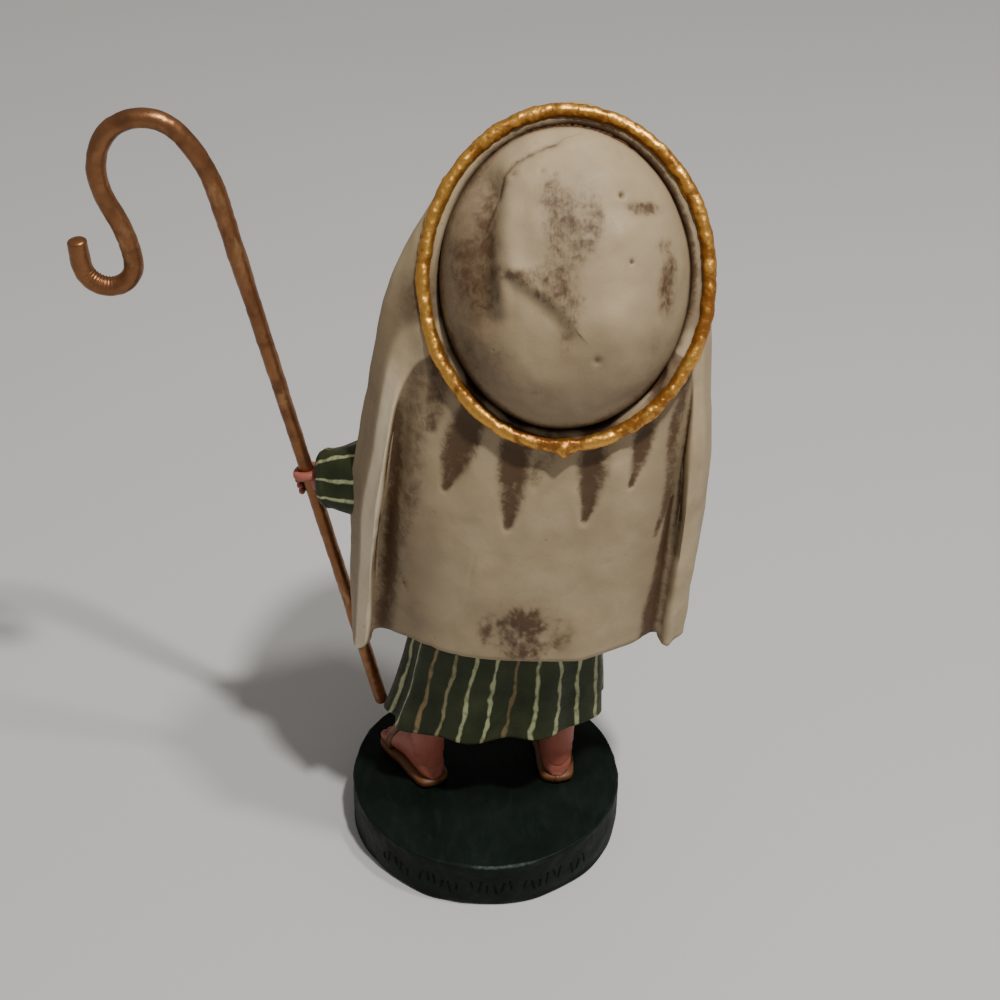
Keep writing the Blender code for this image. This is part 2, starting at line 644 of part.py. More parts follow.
def unite(target, group):
    """Join a collection of closed bodies to the target in one exact union."""
    step = target.modifiers.new("join", "BOOLEAN")
    step.operation = "UNION"
    step.solver = "EXACT"
    step.operand_type = "COLLECTION"
    step.collection = group
    bpy.context.view_layer.update()
    baked = bpy.data.meshes.new_from_object(
        target.evaluated_get(bpy.context.evaluated_depsgraph_get()))
    target.modifiers.clear()
    target.data = baked
    for other in list(group.objects):
        bpy.data.objects.remove(other, do_unlink=True)
    bpy.data.collections.remove(group)


def raise_by(body, height):
    """Lift a body's points by a height."""
    for vertex in body.data.vertices:
        vertex.co.z += height


def make_figure(group, cutters, material):
    """The whole cast figure as one body, bored for the crook."""
    figure = make_robe(group)
    joined = make_collection("joined")
    make_cloth(joined)
    make_crown(joined)
    make_cord(joined)
    make_head(joined)
    make_left_arm(joined)
    make_right_arm(joined)
    make_foot("left", LEFT_HEEL, LEFT_TURN, joined)
    make_foot("right", RIGHT_HEEL, RIGHT_TURN, joined)
    unite(figure, joined)
    raise_by(figure, BASE_HEIGHT)
    bpy.ops.mesh.primitive_cylinder_add(
        vertices=20, radius=fist_bore(), depth=FIST_LENGTH * 3.0,
        location=fist_centre() + np.array((0.0, 0.0, BASE_HEIGHT)),
        rotation=(0.0, CROOK_LEAN, 0.0))
    cutter = bpy.context.object
    cutter.name = "fist_bore_cutter"
    for owner in list(cutter.users_collection):
        owner.objects.unlink(cutter)
    cutters.objects.link(cutter)
    cutter.hide_render = True
    cutter.display_type = "WIRE"
    bore = figure.modifiers.new("bore", "BOOLEAN")
    bore.operation = "DIFFERENCE"
    bore.solver = "EXACT"
    bore.object = cutter
    figure.name = "figure"
    figure.data.name = "figure"
    figure.data.materials.clear()
    figure.data.materials.append(material)
    return figure


def make_base(group, material):
    """Turned disc with a narrow bevel on both edges."""
    bpy.ops.mesh.primitive_cylinder_add(
        vertices=BASE_SIDES, radius=BASE_RADIUS, depth=BASE_HEIGHT,
        location=(0.0, 0.0, BASE_HEIGHT / 2))
    base = bpy.context.object
    base.name = "base"
    for owner in list(base.users_collection):
        owner.objects.unlink(base)
    group.objects.link(base)
    edge = base.modifiers.new("edge", "BEVEL")
    edge.width = BASE_EDGE
    edge.segments = 2
    edge.limit_method = "ANGLE"
    base.data.materials.append(material)
    base.data.shade_smooth()
    base.data.set_sharp_from_angle(angle=math.radians(40.0))
    return base


def make_crook(group, material):
    """Bent wire, thicker towards its hooked top, as one mesh."""
    points = crook_line(CROOK_POINTS)
    curve = bpy.data.curves.new("crook", "CURVE")
    curve.dimensions = "3D"
    curve.bevel_depth = 1.0
    curve.bevel_resolution = 2
    curve.use_fill_caps = True
    line = curve.splines.new("POLY")
    line.points.add(CROOK_POINTS - 1)
    for number, point in enumerate(points):
        line.points[number].co = (point[0], point[1], point[2] + BASE_HEIGHT, 1.0)
        line.points[number].radius = float(crook_radius(number / (CROOK_POINTS - 1)))
    draft = bpy.data.objects.new("crook_curve", curve)
    group.objects.link(draft)
    bpy.context.view_layer.update()
    mesh = bpy.data.meshes.new_from_object(
        draft.evaluated_get(bpy.context.evaluated_depsgraph_get()))
    shell = bmesh.new()
    shell.from_mesh(mesh)
    bmesh.ops.remove_doubles(shell, verts=shell.verts, dist=0.00001)
    bmesh.ops.recalc_face_normals(shell, faces=shell.faces)
    shell.to_mesh(mesh)
    shell.free()
    crook = bpy.data.objects.new("crook", mesh)
    crook.matrix_world = draft.matrix_world
    group.objects.link(crook)
    bpy.data.objects.remove(draft, do_unlink=True)
    mesh.materials.clear()
    mesh.materials.append(material)
    mesh.shade_smooth()
    return crook


def main():
    """Build the three pieces."""
    pieces = make_collection("nativity_shepherd_figurine")
    cutters = make_collection("cutters")
    painted = make_material("painted_resin", (0.50, 0.42, 0.31), 0.62, 0.0)
    green = make_material("dark_green_base", (0.018, 0.030, 0.020), 0.50, 0.0)
    copper = make_material("copper_brown_crook", (0.33, 0.13, 0.06), 0.38, 0.4)
    make_figure(pieces, cutters, painted)
    make_base(pieces, green)
    make_crook(pieces, copper)


main()
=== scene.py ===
"""Painted nativity shepherd figurine, seen from behind and above.

Surfaces are grids of points worked out from two parameters, in metres, in the
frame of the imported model: +Z up, the figure faces -Y, its left hand is at +X.
Heights inside the figure are counted from the top of the base.
"""
import math

import bpy
import numpy as np
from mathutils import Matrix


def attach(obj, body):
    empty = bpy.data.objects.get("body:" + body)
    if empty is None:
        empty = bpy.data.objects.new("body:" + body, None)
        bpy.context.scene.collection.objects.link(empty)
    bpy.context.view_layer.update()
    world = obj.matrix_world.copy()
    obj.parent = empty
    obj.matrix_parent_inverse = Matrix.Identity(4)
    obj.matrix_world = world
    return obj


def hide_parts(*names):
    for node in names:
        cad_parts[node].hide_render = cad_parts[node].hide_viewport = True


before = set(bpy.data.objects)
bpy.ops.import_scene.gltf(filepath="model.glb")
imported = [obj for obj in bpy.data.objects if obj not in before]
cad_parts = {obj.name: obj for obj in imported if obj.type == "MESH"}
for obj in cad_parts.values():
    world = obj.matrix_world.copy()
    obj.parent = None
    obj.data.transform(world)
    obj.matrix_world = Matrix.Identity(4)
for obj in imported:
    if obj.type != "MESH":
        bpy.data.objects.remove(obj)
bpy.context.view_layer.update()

BASE_HEIGHT = 0.0120
BASE_RADIUS = 0.0302
UP = np.array((0.0, 0.0, 1.0))


def unit(vector):
    """Return vectors scaled to length one."""
    vector = np.asarray(vector, dtype=float)
    return vector / np.maximum(np.linalg.norm(vector, axis=-1, keepdims=True), 1e-12)


def ease(value, start, end):
    """Rise smoothly from 0 at start to 1 at end: s*s*(3 - 2*s)."""
    share = np.clip((np.asarray(value, dtype=float) - start) / (end - start), 0.0, 1.0)
    return share * share * (3.0 - 2.0 * share)


def bell(value, width):
    """Bell curve exp(-(value/width)^2)."""
    return np.exp(-(np.asarray(value, dtype=float) / width) ** 2)


def round_end(distance, low):
    """Quarter circle sqrt(1 - (1 - d)^2) of a distance from an end, its square at least low."""
    return np.sqrt(np.clip(1.0 - (1.0 - np.clip(distance, 0, 1)) ** 2, low, 1.0))


def whole_turn(count):
    """Angles of one full turn, the last one short of the first."""
    return np.arange(count) * math.tau / count


def smooth_through(knots, values, at, period=None):
    """Cubic through values at knots, with each slope that of its neighbours' chord."""
    knots = np.asarray(knots, dtype=float)
    values = np.asarray(values, dtype=float)
    if period:
        knots = np.concatenate(([knots[-1] - period], knots, [knots[0] + period]))
        values = np.concatenate((values[-1:], values, values[:1]))
    slopes = np.gradient(values, knots, axis=0, edge_order=1)
    at = np.asarray(at, dtype=float)
    low = np.clip(np.searchsorted(knots, at, side="right") - 1, 0, len(knots) - 2)
    width = knots[low + 1] - knots[low]
    share = (at - knots[low]) / width
    extra = (1,) * (values.ndim - 1)
    share = share.reshape(share.shape + extra)
    width = width.reshape(width.shape + extra)
    return (values[low] * (2 * share ** 3 - 3 * share ** 2 + 1)
            + slopes[low] * width * (share ** 3 - 2 * share ** 2 + share)
            + values[low + 1] * (3 * share ** 2 - 2 * share ** 3)
            + slopes[low + 1] * width * (share ** 3 - share ** 2))


def lumps(points, size, seed):
    """Smooth random field from -1 to 1 with bumps of the given size.

    Random values sit on a cubic lattice and are blended with s*s*(3 - 2*s)
    along each axis.
    """
    place = np.asarray(points) / size + seed * 7.31
    cell = np.floor(place).astype(np.int64)
    part = place - cell
    part = part * part * (3.0 - 2.0 * part)
    total = np.zeros(place.shape[:-1])
    for i in (0, 1):
        for j in (0, 1):
            for k in (0, 1):
                mix = ((cell[..., 0] + i) * 73856093 ^ (cell[..., 1] + j) * 19349663
                       ^ (cell[..., 2] + k) * 83492791 ^ seed * 2654435)
                mix = (mix * 1103515245 + 12345) & 0x7FFFFFFF
                mix = ((mix >> 13) ^ mix) * 1274126177 & 0x7FFFFFFF
                value = mix / 0x3FFFFFFF - 1.0
                weight = (np.where(i, part[..., 0], 1 - part[..., 0])
                          * np.where(j, part[..., 1], 1 - part[..., 1])
                          * np.where(k, part[..., 2], 1 - part[..., 2]))
                total += weight * value
    return total


def grid_normals(grid):
    """Unit cross product of a grid's two directions, closed along its second."""
    around = np.roll(grid, -1, axis=1) - np.roll(grid, 1, axis=1)
    down = np.gradient(grid, axis=0)
    return unit(np.cross(around, down))


def make_piece(name, rows, material, node, loop=False, fields=None):
    """Closed mesh piece from rows of points, each row a closed loop.

    With loop the last row joins the first; without it each end is closed by a
    fan to the middle of its row.  Faces are turned so that the volume inside
    is positive.  fields are numbers for each grid point.
    """
    rows = np.asarray(rows, dtype=float)
    count, around = rows.shape[:2]
    points = rows.reshape(-1, 3)
    index = np.arange(count * around).reshape(count, around)
    below = index if loop else index[:-1]
    above = np.roll(index, -1, axis=0) if loop else index[1:]
    faces = np.stack((below, np.roll(below, -1, axis=1), np.roll(above, -1, axis=1),
                      above), axis=-1).reshape(-1, 4)
    fans = np.zeros((0, 3), dtype=int)
    if not loop:
        hubs = np.stack((rows[0].mean(axis=0), rows[-1].mean(axis=0)))
        points = np.concatenate((points, hubs))
        first = np.stack((np.roll(index[0], -1), index[0],
                          np.full(around, count * around)), axis=-1)
        last = np.stack((index[-1], np.roll(index[-1], -1),
                         np.full(around, count * around + 1)), axis=-1)
        fans = np.concatenate((first, last))
    corner = points[np.concatenate((faces[:, :3], faces[:, (0, 2, 3)], fans))]
    volume = np.einsum("ij,ij->", corner[:, 0], np.cross(corner[:, 1], corner[:, 2]))
    if volume < 0.0:
        faces, fans = faces[:, ::-1], fans[:, ::-1]
    corners = np.concatenate((faces.ravel(), fans.ravel()))
    sizes = np.concatenate((np.full(len(faces), 4), np.full(len(fans), 3)))
    mesh = bpy.data.meshes.new(name)
    mesh.vertices.add(len(points))
    mesh.vertices.foreach_set("co", points.astype(np.float32).ravel())
    mesh.loops.add(len(corners))
    mesh.loops.foreach_set("vertex_index", corners.astype(np.int32))
    mesh.polygons.add(len(sizes))
    starts = np.concatenate(([0], np.cumsum(sizes)[:-1]))
    mesh.polygons.foreach_set("loop_start", starts.astype(np.int32))
    mesh.update(calc_edges=True)
    mesh.validate()
    mesh.shade_smooth()
    for key, values in (fields or {}).items():
        values = np.asarray(values, dtype=float)
        wide = values.shape[-1] == 3 and values.ndim == 3
        flat = values.reshape(-1, 3) if wide else values.ravel()
        if not loop:
            ends = np.stack((values[0].mean(axis=0), values[-1].mean(axis=0)))
            flat = np.concatenate((flat, ends.reshape(-1, 3) if wide else ends.ravel()))
        layer = mesh.attributes.new(key, "FLOAT_VECTOR" if wide else "FLOAT", "POINT")
        layer.data.foreach_set("vector" if wide else "value", flat.ravel())
    mesh.materials.append(material)
    piece = bpy.data.objects.new(name, mesh)
    bpy.context.scene.collection.objects.link(piece)
    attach(piece, "root")
    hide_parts(node)
    return piece


def tube(path, radii, sides, flatten=1.0, upright=(0.0, 0.0, 1.0)):
    """Circles square to a path: centre + r*(cos(a)*side + flatten*sin(a)*top)."""
    path = np.asarray(path, dtype=float)
    tangents = unit(np.gradient(path, axis=0))
    side = unit(np.cross(tangents, upright))
    top = np.cross(side, tangents)
    turn = whole_turn(sides)
    radii = np.broadcast_to(np.asarray(radii, dtype=float), (len(path),))
    return (path[:, None] + radii[:, None, None]
            * (np.cos(turn)[None, :, None] * side[:, None]
               + flatten * np.sin(turn)[None, :, None] * top[:, None]))


# Materials

def shade(tree, kind, settings=None, **inputs):
    """Add a shader node, set its options and set or link its inputs."""
    node = tree.nodes.new(kind)
    for key, value in (settings or {}).items():
        setattr(node, key, value)
    for key, value in inputs.items():
        name = key.replace("_", " ")
        socket = node.inputs[int(name[1:])] if name[1:].isdigit() else node.inputs[name]
        if isinstance(value, bpy.types.NodeSocket):
            tree.links.new(value, socket)
        else:
            socket.default_value = value
    return node


def calc(tree, operation, a, b=0.0, c=0.0, clamp=False):
    """Math node and its result."""
    return shade(tree, "ShaderNodeMath", {"operation": operation, "use_clamp": clamp},
                 i0=a, i1=b, i2=c).outputs[0]


def blend(tree, share, a, b, mode="MIX"):
    """Colour a turned into colour b by a share."""
    node = shade(tree, "ShaderNodeMix", {"data_type": "RGBA", "blend_type": mode},
                 i0=share, i6=a, i7=b)
    return node.outputs[2]


def span(tree, value, low, high, start=0.0, end=1.0):
    """Smooth step of a value from low..high to start..end."""
    node = shade(tree, "ShaderNodeMapRange", {"interpolation_type": "SMOOTHSTEP"},
                 i0=value, i1=low, i2=high, i3=start, i4=end)
    return node.outputs[0]


def field(tree, name, kind="Fac"):
    """Read one of a piece's own fields."""
    return shade(tree, "ShaderNodeAttribute", {"attribute_name": name}).outputs[kind]


def noise(tree, vector, scale, detail=3.0, rough=0.55, warp=0.0):
    """Noise value for a vector."""
    return shade(tree, "ShaderNodeTexNoise", None, Vector=vector, Scale=scale,
                 Detail=detail, Roughness=rough, Distortion=warp).outputs["Fac"]


def paint_group():
    """Hand-painted coat: mottled colour, a soft glaze of painted shade and a
    dry-brushed wash.

    Lay runs in metres across and along the brush.  Wash from 0 to 1 says how
    much of the broken darker wash lies there, and below 0 how far the colour
    is painted paler as a painted highlight; the glaze input is painted shade,
    an even, thin coat of the wash colour.
    """
    tree = bpy.data.node_groups.new("hand_paint", "ShaderNodeTree")
    for name, kind in (("Place", "NodeSocketVector"), ("Lay", "NodeSocketVector"),
                       ("Colour", "NodeSocketColor"), ("Wash Colour", "NodeSocketColor"),
                       ("Wash", "NodeSocketFloat"), ("Shade Glaze", "NodeSocketFloat"),
                       ("Mottle", "NodeSocketFloat")):
        tree.interface.new_socket(name=name, in_out="INPUT", socket_type=kind)
    for name, kind in (("Colour", "NodeSocketColor"), ("Mask", "NodeSocketFloat"),
                       ("Height", "NodeSocketFloat"), ("Fine", "NodeSocketFloat")):
        tree.interface.new_socket(name=name, in_out="OUTPUT", socket_type=kind)
    given = tree.nodes.new("NodeGroupInput").outputs
    result = tree.nodes.new("NodeGroupOutput").inputs
    stroke = shade(tree, "ShaderNodeVectorMath", {"operation": "MULTIPLY"},
                   i0=given["Lay"], i1=(1.0, 0.20, 1.0)).outputs[0]
    bristle = noise(tree, stroke, 1500.0, 3.0, 0.6, 1.4)
    grain = noise(tree, given["Place"], 1300.0, 4.0, 0.62)
    patch = noise(tree, given["Place"], 520.0, 5.0, 0.66, 0.5)
    broad = noise(tree, given["Place"], 105.0, 3.0, 0.55, 0.3)
    loose = calc(tree, "MULTIPLY_ADD", bristle, 0.55, calc(tree, "MULTIPLY", patch, 1.25))
    loose = calc(tree, "ADD", loose, calc(tree, "MULTIPLY", broad, 0.7))
    loose = calc(tree, "MULTIPLY", calc(tree, "SUBTRACT", loose, 1.25),
                 span(tree, given["Wash"], 0.02, 0.45))
    cover = calc(tree, "ADD", given["Wash"], loose)
    mask = span(tree, cover, 0.06, 1.00)
    thin = span(tree, calc(tree, "ADD", given["Wash"], calc(tree, "MULTIPLY", loose, 0.3)),
                0.04, 1.0, 0.0, 0.58)
    tone = calc(tree, "MULTIPLY", calc(tree, "SUBTRACT", patch, 0.5), given["Mottle"])
    tone = calc(tree, "ADD", tone, calc(
        tree, "MULTIPLY", calc(tree, "SUBTRACT", broad, 0.5),
        calc(tree, "MULTIPLY", given["Mottle"], 2.2)))
    # Negative wash paints the colour paler: a painted highlight.
    pale = span(tree, calc(tree, "SUBTRACT", calc(tree, "MULTIPLY", loose, 0.4), given["Wash"]),
                0.05, 0.9, 0.0, 0.62)
    bright = calc(tree, "ADD", calc(tree, "ADD", 1.0, tone), pale)
    base = shade(tree, "ShaderNodeHueSaturation", None, Value=bright,
                 Saturation=calc(tree, "MULTIPLY_ADD", bright, -0.35, 1.35),
                 Color=given["Colour"])
    # The glaze input paints shade: a thin coat of the wash colour.
    shade_film = calc(tree, "MULTIPLY", given["Shade Glaze"],
                calc(tree, "MULTIPLY_ADD", calc(tree, "ADD", patch, broad), 0.8, 0.2))
    colour = blend(tree, calc(tree, "MULTIPLY", shade_film, 0.85, clamp=True), base.outputs[0],
                   given["Wash Colour"])
    share = calc(tree, "MAXIMUM", calc(tree, "MULTIPLY", mask, 0.94), thin)
    colour = blend(tree, share, colour, given["Wash Colour"])
    tree.links.new(colour, result["Colour"])
    tree.links.new(mask, result["Mask"])
    height = calc(tree, "ADD", calc(tree, "MULTIPLY", grain, 0.35),
                  calc(tree, "MULTIPLY", bristle, 0.25))
    height = calc(tree, "ADD", height, calc(tree, "MULTIPLY", patch, 0.9))
    tree.links.new(height, result["Height"])
    tree.links.new(grain, result["Fine"])
    return tree


HAND_PAINT = paint_group()


def new_material(name):
    """Empty node material: its tree, shader and the object-space place."""
    material = bpy.data.materials.new(name)
    material.use_nodes = True
    tree = material.node_tree
    shader = tree.nodes["Principled BSDF"]
    place = tree.nodes.new("ShaderNodeTexCoord").outputs["Object"]
    return material, tree, shader, place


def coat(tree, place, lay, colour, wash_colour, wash, mottle=0.10, shade_glaze=0.0):
    """Use the hand-painted coat; its last argument is a glaze of painted shade."""
    node = tree.nodes.new("ShaderNodeGroup")
    node.node_tree = HAND_PAINT
    for key, value in (("Place", place), ("Lay", lay), ("Colour", colour),
                       ("Wash Colour", wash_colour), ("Wash", wash), ("Mottle", mottle),
                       ("Shade Glaze", shade_glaze)):
        if isinstance(value, bpy.types.NodeSocket):
            tree.links.new(value, node.inputs[key])
        else:
            node.inputs[key].default_value = value
    return node.outputs


def finish(tree, shader, colour, rough, height, strength=0.4, distance=0.00012, metal=0.0,
           gloss=0.35):
    """Join colour, roughness and bump to the Principled shader."""
    bump = shade(tree, "ShaderNodeBump", None, Strength=strength, Distance=distance,
                 Height=height).outputs[0]
    for key, value in (("Base Color", colour), ("Roughness", rough), ("Metallic", metal),
                       ("Normal", bump)):
        if isinstance(value, bpy.types.NodeSocket):
            tree.links.new(value, shader.inputs[key])
        else:
            shader.inputs[key].default_value = value
    shader.inputs["Specular IOR Level"].default_value = gloss


CREAM = (0.400, 0.310, 0.190, 1.0)
WASH_BROWN = (0.070, 0.035, 0.0145, 1.0)


def cream_material():
    """Cream head cloth with brown dry-brushed washes, a glaze of painted shade and painted shade in
    its creases.
    """
    material, tree, shader, place = new_material("cream_paint")
    out = coat(tree, place, field(tree, "lay", "Vector"), CREAM, WASH_BROWN,
               field(tree, "wash"), 0.22, field(tree, "shade_glaze"))
    # Painted shade: grooves and pleat valleys are darkened towards near-black brown.
    crease_shade = field(tree, "crease_shade")
    colour = blend(tree, span(tree, crease_shade, 0.0, 1.0, 0.0, 0.86), out["Colour"],
                   (0.036, 0.019, 0.010, 1.0))
    pits = shade(tree, "ShaderNodeTexVoronoi", None, Vector=place, Scale=130.0,
                 Randomness=1.0).outputs["Distance"]
    pit = span(tree, pits, 0.03, 0.075, 1.0, 0.0)
    colour = blend(tree, calc(tree, "MULTIPLY", pit, 0.35), colour, (0.16, 0.10, 0.06, 1.0))
    rough = span(tree, out["Fine"], 0.3, 0.7, 0.50, 0.66)
    height = calc(tree, "SUBTRACT", out["Height"], calc(tree, "MULTIPLY", pit, 0.8))
    finish(tree, shader, colour, rough, height, 0.55, 0.00014, gloss=0.30)
    return material


def gilt_material():
    """Gold paint, orange-brown where it is thin and where painted shade lies, with pale gold flecks
    as painted highlights.
    """
    material, tree, shader, place = new_material("gilt_paint")
    patch = noise(tree, place, 420.0, 5.0, 0.62, 0.6)
    glint_flake = noise(tree, place, 1900.0, 3.0, 0.6)
    sunk_and_shaded = field(tree, "sunk_and_shaded")
    worn_and_shaded = calc(tree, "ADD", sunk_and_shaded, calc(tree, "MULTIPLY_ADD", patch, 1.6, -0.62))
    colour = blend(tree, span(tree, worn_and_shaded, 0.10, 0.65), (0.66, 0.34, 0.070, 1.0),
                   (0.26, 0.095, 0.014, 1.0))
    # Painted highlight: pale gold flecks.
    colour = blend(tree, span(tree, glint_flake, 0.62, 0.80, 0.0, 0.6), colour,
                   (0.88, 0.60, 0.24, 1.0))
    metal = span(tree, worn_and_shaded, 0.1, 0.8, 0.85, 0.45)
    rough = span(tree, glint_flake, 0.3, 0.7, 0.30, 0.46)
    height = calc(tree, "ADD", calc(tree, "MULTIPLY", patch, 1.0),
                  calc(tree, "MULTIPLY", glint_flake, 0.35))
    finish(tree, shader, colour, rough, height, 0.6, 0.0002, metal)
    return material


def robe_material():
    """Dark olive green with hand-drawn wavy stripes along the cloth.

    The field "lap" holds the cosine and sine of the place round the cloth,
    "lay" an offset in stripes, the stripes in one round and a shadow share.
    """
    material, tree, shader, place = new_material("striped_green_paint")
    lay = field(tree, "lay", "Vector")
    parts = shade(tree, "ShaderNodeSeparateXYZ", None, Vector=lay).outputs
    lap = shade(tree, "ShaderNodeSeparateXYZ", None, Vector=field(tree, "lap", "Vector")).outputs
    round_share = calc(tree, "DIVIDE", calc(tree, "ARCTAN2", lap[1], lap[0]), math.tau)
    slow = noise(tree, place, 105.0, 2.0, 0.5)
    quick = noise(tree, place, 420.0, 2.0, 0.5)
    across = calc(tree, "MULTIPLY_ADD", round_share, parts[1], parts[0])
    across = calc(tree, "ADD", across, calc(tree, "MULTIPLY_ADD", slow, 0.62, -0.31))
    across = calc(tree, "ADD", across, calc(tree, "MULTIPLY_ADD", quick, 0.05, -0.025))
    number = calc(tree, "FLOOR", across)
    away = calc(tree, "ABSOLUTE", calc(tree, "SUBTRACT", calc(tree, "FRACT", across), 0.5))
    chance = shade(tree, "ShaderNodeTexWhiteNoise", {"noise_dimensions": "1D"}, W=number)
    width = span(tree, noise(tree, place, 300.0, 2.0), 0.25, 0.75, 0.050, 0.105)
    stripe = shade(tree, "ShaderNodeMapRange", {"interpolation_type": "SMOOTHSTEP"},
                   i0=away, i1=calc(tree, "SUBTRACT", width, 0.035),
                   i2=calc(tree, "ADD", width, 0.045), i3=1.0, i4=0.0).outputs[0]
    weak = span(tree, noise(tree, place, 520.0, 3.0), 0.34, 0.52)
    light = blend(tree, span(tree, chance.outputs["Value"], 0.55, 0.95),
                  (0.390, 0.410, 0.225, 1.0), (0.230, 0.160, 0.075, 1.0))
    green = blend(tree, span(tree, slow, 0.35, 0.7), (0.020, 0.027, 0.0105, 1.0),
                  (0.037, 0.045, 0.0175, 1.0))
    colour = blend(tree, calc(tree, "MULTIPLY", stripe, calc(
        tree, "MULTIPLY_ADD", weak, 0.45, 0.55)), green, light)
    out = coat(tree, place, place, colour, (0.012, 0.014, 0.008, 1.0),
               calc(tree, "MULTIPLY", parts[2], 0.9), 0.22)
    height = calc(tree, "ADD", out["Height"], calc(tree, "MULTIPLY", stripe, 0.8))
    finish(tree, shader, out["Colour"], span(tree, out["Fine"], 0.3, 0.7, 0.42, 0.6),
           height, 0.35, gloss=0.18)
    return material


def plain_material(name, colour, wash_colour, mottle=0.2, rough=0.5, strength=0.35):
    """Painted coat of one colour with a wash from the field "wash"."""
    material, tree, shader, place = new_material(name)
    out = coat(tree, place, place, colour, wash_colour, field(tree, "wash"), mottle)
    finish(tree, shader, out["Colour"],
           span(tree, out["Fine"], 0.3, 0.7, rough - 0.08, rough + 0.08),
           out["Height"], strength)
    return material


def face_material():
    """Warm skin with painted eyes, brows, lips and cheeks, painted shade, and a painted highlight
    in each eye.
    """
    material, tree, shader, place = new_material("painted_face")
    out = coat(tree, place, place, (0.50, 0.235, 0.150, 1.0), (0.17, 0.060, 0.035, 1.0),
               field(tree, "wash"), 0.10, field(tree, "shade_glaze"))
    colour = out["Colour"]
    for name, paint, low, high, most in (
            ("blush", (0.58, 0.16, 0.11, 1.0), 0.05, 1.0, 0.55),
            ("lips", (0.42, 0.085, 0.065, 1.0), 0.40, 0.60, 0.9),
            ("eyewhite", (0.72, 0.68, 0.60, 1.0), 0.46, 0.54, 1.0),
            ("iris", (0.085, 0.038, 0.018, 1.0), 0.46, 0.54, 1.0),
            ("pupil", (0.006, 0.005, 0.005, 1.0), 0.46, 0.54, 1.0),
            # A painted highlight in each eye.
            ("glint", (0.9, 0.9, 0.88, 1.0), 0.46, 0.54, 1.0),
            ("lash", (0.030, 0.014, 0.009, 1.0), 0.44, 0.58, 1.0),
            ("brow", (0.075, 0.034, 0.018, 1.0), 0.35, 0.70, 0.85)):
        colour = blend(tree, span(tree, field(tree, name), low, high, 0.0, most), colour,
                       paint)
    wet = span(tree, field(tree, "eyewhite"), 0.4, 0.6, 0.46, 0.16)
    finish(tree, shader, colour, wet, out["Height"], 0.2)
    return material


def base_material():
    """Very dark green with painted shade on top, rubbed pale along the rim and given a painted
    highlight there.
    """
    material, tree, shader, place = new_material("dark_green_base")
    brush = shade(tree, "ShaderNodeVectorMath", {"operation": "MULTIPLY"},
                  i0=place, i1=(1.0, 0.35, 1.0)).outputs[0]
    streak = noise(tree, brush, 420.0, 5.0, 0.65, 0.5)
    patch = noise(tree, place, 120.0, 3.0, 0.55)
    out = coat(tree, place, place, (0.0048, 0.0086, 0.0060, 1.0),
               (0.0015, 0.0022, 0.0018, 1.0), field(tree, "wash"), 0.5)
    colour = blend(tree, span(tree, streak, 0.45, 0.75, 0.0, 0.55), out["Colour"],
                   (0.0100, 0.0175, 0.0125, 1.0))
    # Pale rim: partly wear, partly a painted highlight.
    rub_and_highlight = calc(tree, "ADD", field(tree, "rub_and_highlight"), calc(
        tree, "MULTIPLY_ADD", noise(tree, place, 900.0, 4.0, 0.7), 1.1, -0.62))
    colour = blend(tree, span(tree, rub_and_highlight, 0.30, 0.85, 0.0, 0.75), colour,
                   (0.070, 0.098, 0.080, 1.0))
    rough = span(tree, patch, 0.3, 0.7, 0.46, 0.62)
    height = calc(tree, "ADD", calc(tree, "MULTIPLY", streak, 0.9), out["Height"])
    finish(tree, shader, colour, rough, height, 0.6, 0.00018, gloss=0.10)
    return material


def copper_material():
    """Copper-brown wire, darker in its dents and with painted shade underneath; its paler streaks
    are partly a painted highlight.
    """
    material, tree, shader, place = new_material("copper_brown_crook")
    lay = field(tree, "lay", "Vector")
    streak = noise(tree, lay, 330.0, 5.0, 0.65, 0.4)
    patch = noise(tree, place, 190.0, 4.0, 0.6, 0.3)
    fine = noise(tree, place, 1700.0, 3.0, 0.6)
    worn_and_shaded = calc(tree, "ADD", field(tree, "sunk_and_shaded"), calc(tree, "MULTIPLY_ADD", patch, 0.8, -0.36))
    colour = blend(tree, span(tree, worn_and_shaded, -0.10, 0.75), (0.250, 0.110, 0.046, 1.0),
                   (0.075, 0.028, 0.012, 1.0))
    # Paler streaks along the wire, partly a painted highlight.
    colour = blend(tree, span(tree, streak, 0.54, 0.76, 0.0, 0.65), colour,
                   (0.500, 0.290, 0.135, 1.0))
    height = calc(tree, "ADD", calc(tree, "MULTIPLY", streak, 1.1),
                  calc(tree, "MULTIPLY", fine, 0.3))
    finish(tree, shader, colour, span(tree, patch, 0.3, 0.7, 0.28, 0.44), height, 0.6,
           0.00022, span(tree, worn_and_shaded, 0.2, 0.8, 0.75, 0.35))
    return material


MATERIAL = {
    "cream": cream_material(),
    "gilt": gilt_material(),
    "robe": robe_material(),
    "face": face_material(),
    "skin": plain_material("painted_skin", (0.360, 0.112, 0.078, 1.0),
                           (0.100, 0.028, 0.017, 1.0), 0.22, 0.46),
    "sandal": plain_material("brown_sandal", (0.150, 0.060, 0.022, 1.0),
                             (0.022, 0.009, 0.005, 1.0), 0.35, 0.48),
    "hair": plain_material("brown_hair", (0.085, 0.040, 0.018, 1.0),
                           (0.020, 0.009, 0.005, 1.0), 0.4, 0.45),
    "base": base_material(),
    "crook": copper_material(),
}


# Head cord

